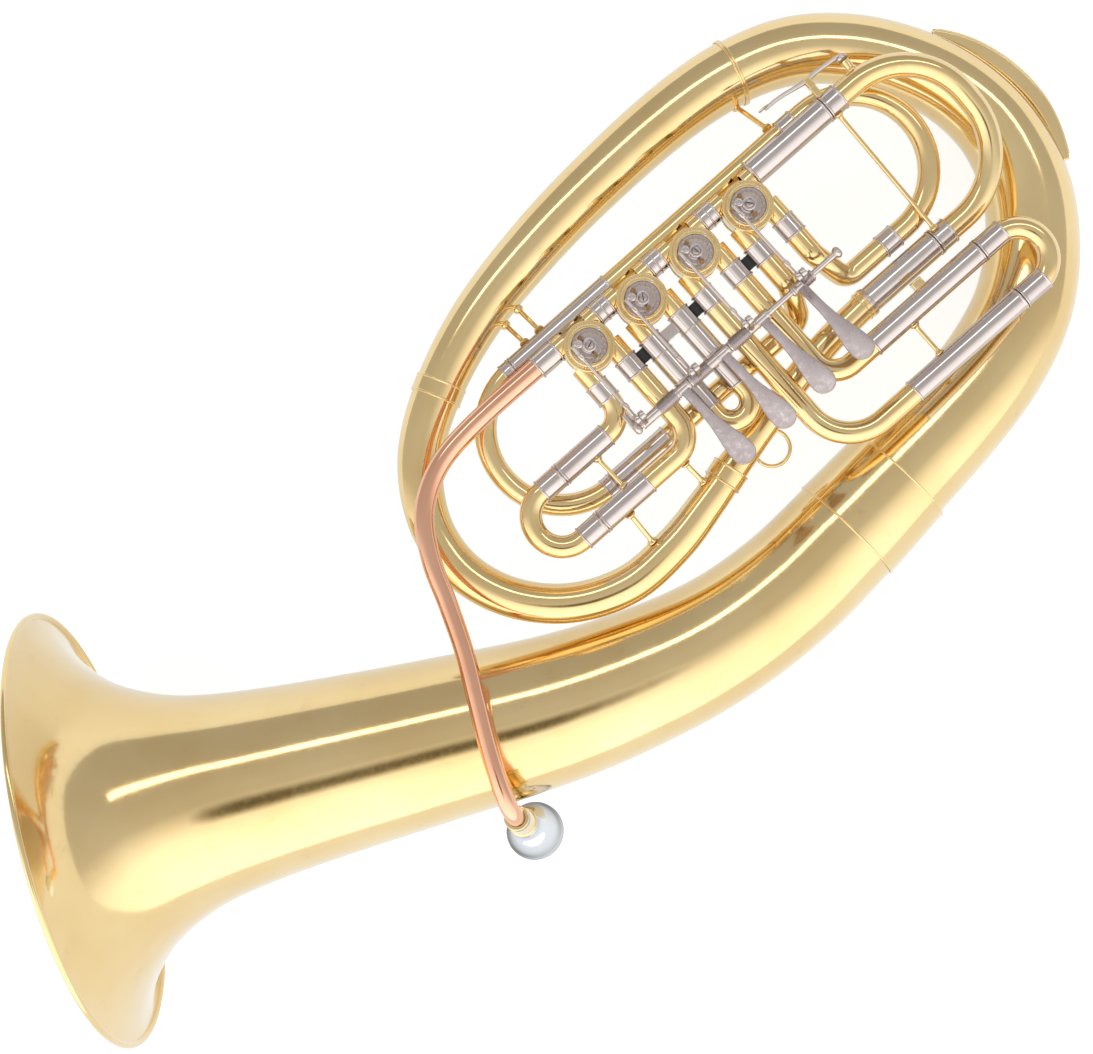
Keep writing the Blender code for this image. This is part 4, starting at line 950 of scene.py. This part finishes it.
def build_tuning_slide():
    start = valve_x(3) + CASING_RADIUS - 0.4
    upper, lower = "tuning_sleeve_upper", "tuning_sleeve_lower"
    sleeve("main_sleeve_upper", (start, MAIN_TOP_Y, 0), (MAIN_JOINT_X, MAIN_TOP_Y, 0), MAIN_SLEEVE, NICKEL,
           upper, beads=(1.6, 1.2))
    sleeve("main_sleeve_lower", (RECEIVER[-1][0] + 1.0, MAIN_LOW_Y, MAIN_LOW_Z),
           (MAIN_JOINT_X, MAIN_LOW_Y, MAIN_LOW_Z), MAIN_SLEEVE, NICKEL, lower, beads=(1.6, 1.2))
    collars = (("upper", (start + 0.6, MAIN_TOP_Y - 0.6, 0.0), 8.0, upper),
               ("lower", (RECEIVER[-1][0] + 0.5, MAIN_LOW_Y, MAIN_LOW_Z), 9.2, lower))
    for word, centre, radius, nodes in collars:
        torus(f"main_collar_{word}", centre, X_AXIS, radius, 1.1, NICKEL, nodes)
    cad = "tuning_slide"
    turn = 52.0
    tips = (Vector((158.0, MAIN_TOP_Y, 0)), Vector((158.0, MAIN_LOW_Y, MAIN_LOW_Z)))
    for tip, word in zip(tips, ("upper", "lower")):
        meet = Vector((MAIN_JOINT_X, tip.y, tip.z))
        inner = [(*(tip.lerp(meet, t)), MAIN_LEG - 0.5) for t in (0.0, 0.5, 1.0)]
        inner.append((MAIN_JOINT_X + 3.0, tip.y, tip.z, MAIN_LEG - 0.5))
        tube(f"tuning_leg_{word}", inner, NICKEL, cad, sides=36)
        sleeve(f"tuning_ferrule_{word}", meet + X_AXIS * GAP, meet + X_AXIS * 13.0, MAIN_SLEEVE, NICKEL, cad)
    crook = rounded_route([((223.0, MAIN_TOP_Y, 0), 0), ((MAIN_CROOK_END_X, MAIN_TOP_Y, 0), turn),
                           ((MAIN_CROOK_END_X, MAIN_LOW_Y, MAIN_LOW_Z), turn),
                           ((223.0, MAIN_LOW_Y, MAIN_LOW_Z), 0)], MAIN_LEG + 0.2, 4.0)
    tube("tuning_bow", crook, BRASS, cad, sides=44)
    rod("tuning_brace", (217.0, MAIN_TOP_Y - 8.0, 3.0), (217.5, MAIN_LOW_Y + 7.0, MAIN_LOW_Z + 6.0), 1.6, BRASS,
        cad)
    x, y, _ = WATER_KEY
    parts = [(block((x - 2.2, MAIN_TOP_Y + 8.0, -2.4), (x + 2.2, y - 4.2, 2.4), 0.5), HERE),
             (block((x - 2.2, y - 5.5, -3.6), (x + 2.2, y - 4.0, 3.6), 0.5), HERE)]
    for side in (-1, 1):
        cheek = block((x - 2.2, y - 5.5, side * 3.0 - 0.75), (x + 2.2, y + 2.0, side * 3.0 + 0.75), 0.5)
        parts.append((cheek, HERE))
    merged("water_key_saddle", parts, HERE, BRASS, cad)
    nipple = [(2.0, 17.0), (3.6, 17.0), (3.6, 20.0), (3.0, 21.0), (3.0, 26.4), (3.3, 27.0), (2.0, 27.0),
              (2.0, 17.0)]
    lathe("water_key_nipple", eased(nipple, 0.3), place_at((243.0, 0.0, 0.0), Y_AXIS), BRASS, cad, 32)


def build_water_key():
    cad = "water_key"
    x, y, z = WATER_KEY
    knots = smooth_route([(184.5, y + 4.4, z, 1.3), (196.0, y + 3.9, z, 1.35), (210.0, y + 1.4, z, 1.6),
                          (216.5, y + 0.4, z, 1.8), (224.0, y + 0.6, z, 1.6), (236.0, y - 0.6, z, 1.4),
                          (244.0, y - 1.6, z, 1.3)], 1.5)
    tube("water_key_lever", knots, NICKEL, cad, sides=16, wall=0.6)
    touch = [(0.0, 0.0), (3.2, 0.1), (4.0, 0.7), (3.8, 1.3), (2.0, 1.6), (0.0, 1.6)]
    lathe("water_key_touch", eased(touch, 0.3), place_at((184.0, y + 4.5, z), Y_AXIS), NICKEL, cad, 32)
    barrel = [(0.0, 0.0), (1.9, 0.0), (1.9, 3.6), (0.0, 3.6)]
    lathe("water_key_barrel", eased(barrel, 0.2), place_at((x, y + 0.2, z - 1.8), Z_AXIS), NICKEL, cad, 24)
    cup = [(0.0, 0.0), (2.2, 0.0), (3.8, -0.9), (4.0, -2.6), (3.3, -2.6), (0.0, -2.2)]
    lathe("water_key_cup", eased(cup, 0.3), place_at((243.0, y - 1.7, z), Y_AXIS), NICKEL, cad, 32)
    cork = [(0.0, 0.0), (3.2, 0.0), (3.2, -1.6), (0.0, -1.6)]
    lathe("water_key_cork", eased(cork, 0.3), place_at((243.0, y - 4.0, z), Y_AXIS), CORK, cad, 32)


# ---------------------------------------------------------------- leadpipe, mouthpiece and stays

def build_leadpipe():
    tube("leadpipe_tube", smooth_route(LEADPIPE, 3.0), ROSE, "leadpipe", sides=36)
    sleeve("leadpipe_ferrule_sleeve", (-CASING_RADIUS + 0.4, ROW_LINE_Y, 0), (-34.0, ROW_LINE_Y, 0), SLEEVE,
           NICKEL, "leadpipe_ferrule", beads=(1.4, 1.2))
    top = RECEIVER_TOP
    profile = [(5.9, 0.0), (7.9, 0.0), (8.3, 0.8), (8.3, 2.0), (7.7, 2.8), (7.8, 10.0), (8.4, 18.0),
               (8.5, 21.0), (9.3, 21.6), (9.6, 23.0), (9.3, 25.4), (8.6, 26.0), (7.6, 26.0), (5.9, 0.0)]
    lathe("receiver_socket", eased(profile, 0.35), place_at(top, MOUTHPIECE_AXIS), BRASS,
          "mouthpiece_receiver", 48)


def build_mouthpiece():
    seat = RECEIVER_TOP + MOUTHPIECE_AXIS * 8.0
    outside = smooth_route(((6.2, 0.0), (6.6, 18.0), (7.2, 25.0), (8.8, 31.5), (13.2, 38.5), (16.5, 46.0),
                            (18.0, 52.5), (18.3, 55.0)), 1.5)
    outside = [tuple(p) for p in outside]
    rim = [(19.2, 57.2), (19.3, 58.6), (18.9, 60.1), (17.8, 61.1), (16.2, 61.4), (14.6, 60.9), (13.5, 59.7)]
    inside = smooth_route(((13.2, 58.5), (12.8, 52.0), (11.0, 44.0), (7.0, 37.0), (3.6, 32.5), (3.4, 29.0),
                           (3.5, 20.0), (4.6, 0.0)), 1.5)
    profile = outside + rim + [tuple(p) for p in inside] + [(6.2, 0.0)]
    place = place_at(seat, MOUTHPIECE_AXIS)
    lathe("mouthpiece_body", profile, place, SILVER, "mouthpiece", 72)
    bead = [(7.0, 24.6), (7.9, 25.0), (8.1, 25.8), (7.8, 26.6), (7.2, 27.0), (7.0, 24.6)]
    lathe("mouthpiece_bead", eased(bead, 0.2), place, SILVER, "mouthpiece", 48)


def build_stays():
    stays = (("stay_top_left", (-29.0, 46.6, -34.4), (-28.0, 28.4, LOOP_Z)),
             ("stay_top_middle", (-16.0, 48.8, -34.9), (-15.5, 28.4, LOOP_Z)),
             ("stay_top_right", (179.5, 54.4, -44.5), (181.0, 28.4, LOOP_Z)),
             ("stay_first_slide", (-51.0, -98.8, 0.0), (-51.5, -122.0, -13.0)),
             ("stay_first_tubes", (-3.0, -97.6, -3.4), (-1.5, -114.9, -12.2)))
    for name, start, end in stays:
        rod(name + "_rod", start, end, 1.7, BRASS, name)
    torus("finger_ring_wire", (47.5, -128.5, MAIN_LOW_Z - 11.8), Z_AXIS, 11.8, 1.3, BRASS, "finger_ring",
          sides=64)


# ---------------------------------------------------------------- studio

# Directions across the tent, in the horn's frame: towards its dim side, and along it.
TENT_FAR = (0.663, 0.749, 0.0)
TENT_SIDE = (0.749, -0.663, 0.0)
TENT_POWER = 1.8
# Brightness of the walls from the bright side to the dim side.
TENT_WALLS = ((0.0, 1.0), (0.3, 0.78), (0.5, 0.36), (0.75, 0.29), (1.0, 0.25))
# Brightness by distance from the middle of the opening, which is off centre.
OPENING_SHIFT = 0.25
TENT_OPENING = ((0.0, (0.10, 0.09, 0.07)), (0.08, (0.18, 0.16, 0.12)), (0.2, (0.92, 0.92, 0.92)), (0.45, 1.0))


# The paper glows less in reflections than to the camera, so that low sides of the horn keep their tone.
FLOOR_GLOW = 0.95
FLOOR_GLOW_SEEN = 1.45
FLOOR_SIZE = 40000.0

CAMERA_PLACE = (-96.3, -69.8, 1531.0)
CAMERA_RIGHT = (0.749, -0.663, 0.0)
CAMERA_LENS = 79.05


def build_floor():
    shape = bmesh.new()
    bmesh.ops.create_grid(shape, x_segments=1, y_segments=1, size=FLOOR_SIZE)
    floor = bpy.data.objects.new("floor", to_mesh(shape, "floor"))
    bpy.context.scene.collection.objects.link(floor)
    material, tree, shader, coords = start_material("floor_paper")
    tint = ramp(tree, noise(tree, coords, 3.0), ((0.3, (0.49, 0.50, 0.50)), (0.7, (0.51, 0.52, 0.52))))
    seen = node(tree, "ShaderNodeLightPath").outputs["Is Camera Ray"]
    fill(tree, shader, {
        "Roughness": 0.9,
        "Specular IOR Level": 0.1,
        "Base Color": tint,
        "Emission Color": tint,
        "Emission Strength": scaled(tree, seen, FLOOR_GLOW_SEEN - FLOOR_GLOW, FLOOR_GLOW),
    })
    floor.data.materials.append(material)


def build_strip_light(tilt, distance, length, width, power):
    """A long lamp across the tent, tilted from overhead towards the dim side, pointing at the horn."""
    data = bpy.data.lights.new("strip_light", "AREA")
    data.shape = "RECTANGLE"
    data.size, data.size_y = length, width
    data.energy = power
    lamp = bpy.data.objects.new("strip_light", data)
    lean = radians(tilt)
    away = Vector(TENT_FAR).normalized() * sin(lean) + Z_AXIS * cos(lean)
    lamp.matrix_world = HORN @ place_at(away * distance / MM, away, TENT_SIDE)
    bpy.context.scene.collection.objects.link(lamp)


def build_world():
    """A white studio tent, open overhead: dimmer on one side, brighter on the other."""
    world = bpy.data.worlds.new("studio")
    bpy.context.scene.world = world
    world.use_nodes = True
    tree = world.node_tree
    coords = node(tree, "ShaderNodeTexCoord").outputs["Generated"]
    tent = HORN.to_3x3()

    def along(direction):
        values = {0: coords, 1: tent @ Vector(direction).normalized()}
        return node(tree, "ShaderNodeVectorMath", values, operation="DOT_PRODUCT").outputs["Value"]

    far, side = along(TENT_FAR), along(TENT_SIDE)
    spread = node(tree, "ShaderNodeMapRange", {"Value": far, "From Min": -1.0}).outputs["Result"]
    flat = node(tree, "ShaderNodeCombineXYZ", {"X": scaled(tree, far, 1.0, OPENING_SHIFT), "Y": side})
    reach = node(tree, "ShaderNodeVectorMath", {0: flat.outputs["Vector"]}, operation="LENGTH")
    walls = ramp(tree, spread, TENT_WALLS)
    opening = ramp(tree, reach.outputs["Value"], TENT_OPENING)
    fill(tree, tree.nodes["Background"], {"Color": mix_colour(tree, 1.0, walls, opening, "MULTIPLY"),
                                          "Strength": TENT_POWER})


def build_camera():
    data = bpy.data.cameras.new("camera")
    data.lens = CAMERA_LENS
    data.sensor_width = 36.0
    data.clip_start, data.clip_end = 0.05, 20.0
    camera = bpy.data.objects.new("camera", data)
    bpy.context.scene.collection.objects.link(camera)
    right = Vector(CAMERA_RIGHT).normalized()
    turn = Matrix((right, Z_AXIS.cross(right), Z_AXIS)).transposed().to_4x4()
    camera.matrix_world = HORN @ Matrix.Translation(Vector(CAMERA_PLACE) * MM) @ turn
    bpy.context.scene.camera = camera


def main():
    build_bell()
    build_garland()
    build_bow_and_branch()
    build_bow_guard()
    build_row()
    build_axle()
    for number in range(4):
        build_lever(number)
        build_link(number)
    build_first_slide()
    build_second_slide()
    build_third_slide()
    build_fourth_slide()
    build_tuning_slide()
    build_water_key()
    build_leadpipe()
    build_mouthpiece()
    build_stays()
    build_floor()
    build_world()
    build_strip_light(32.0, 2.4, 3.2, 0.30, 6.5)
    build_camera()
    bpy.context.scene.view_settings.view_transform = "Standard"


main()
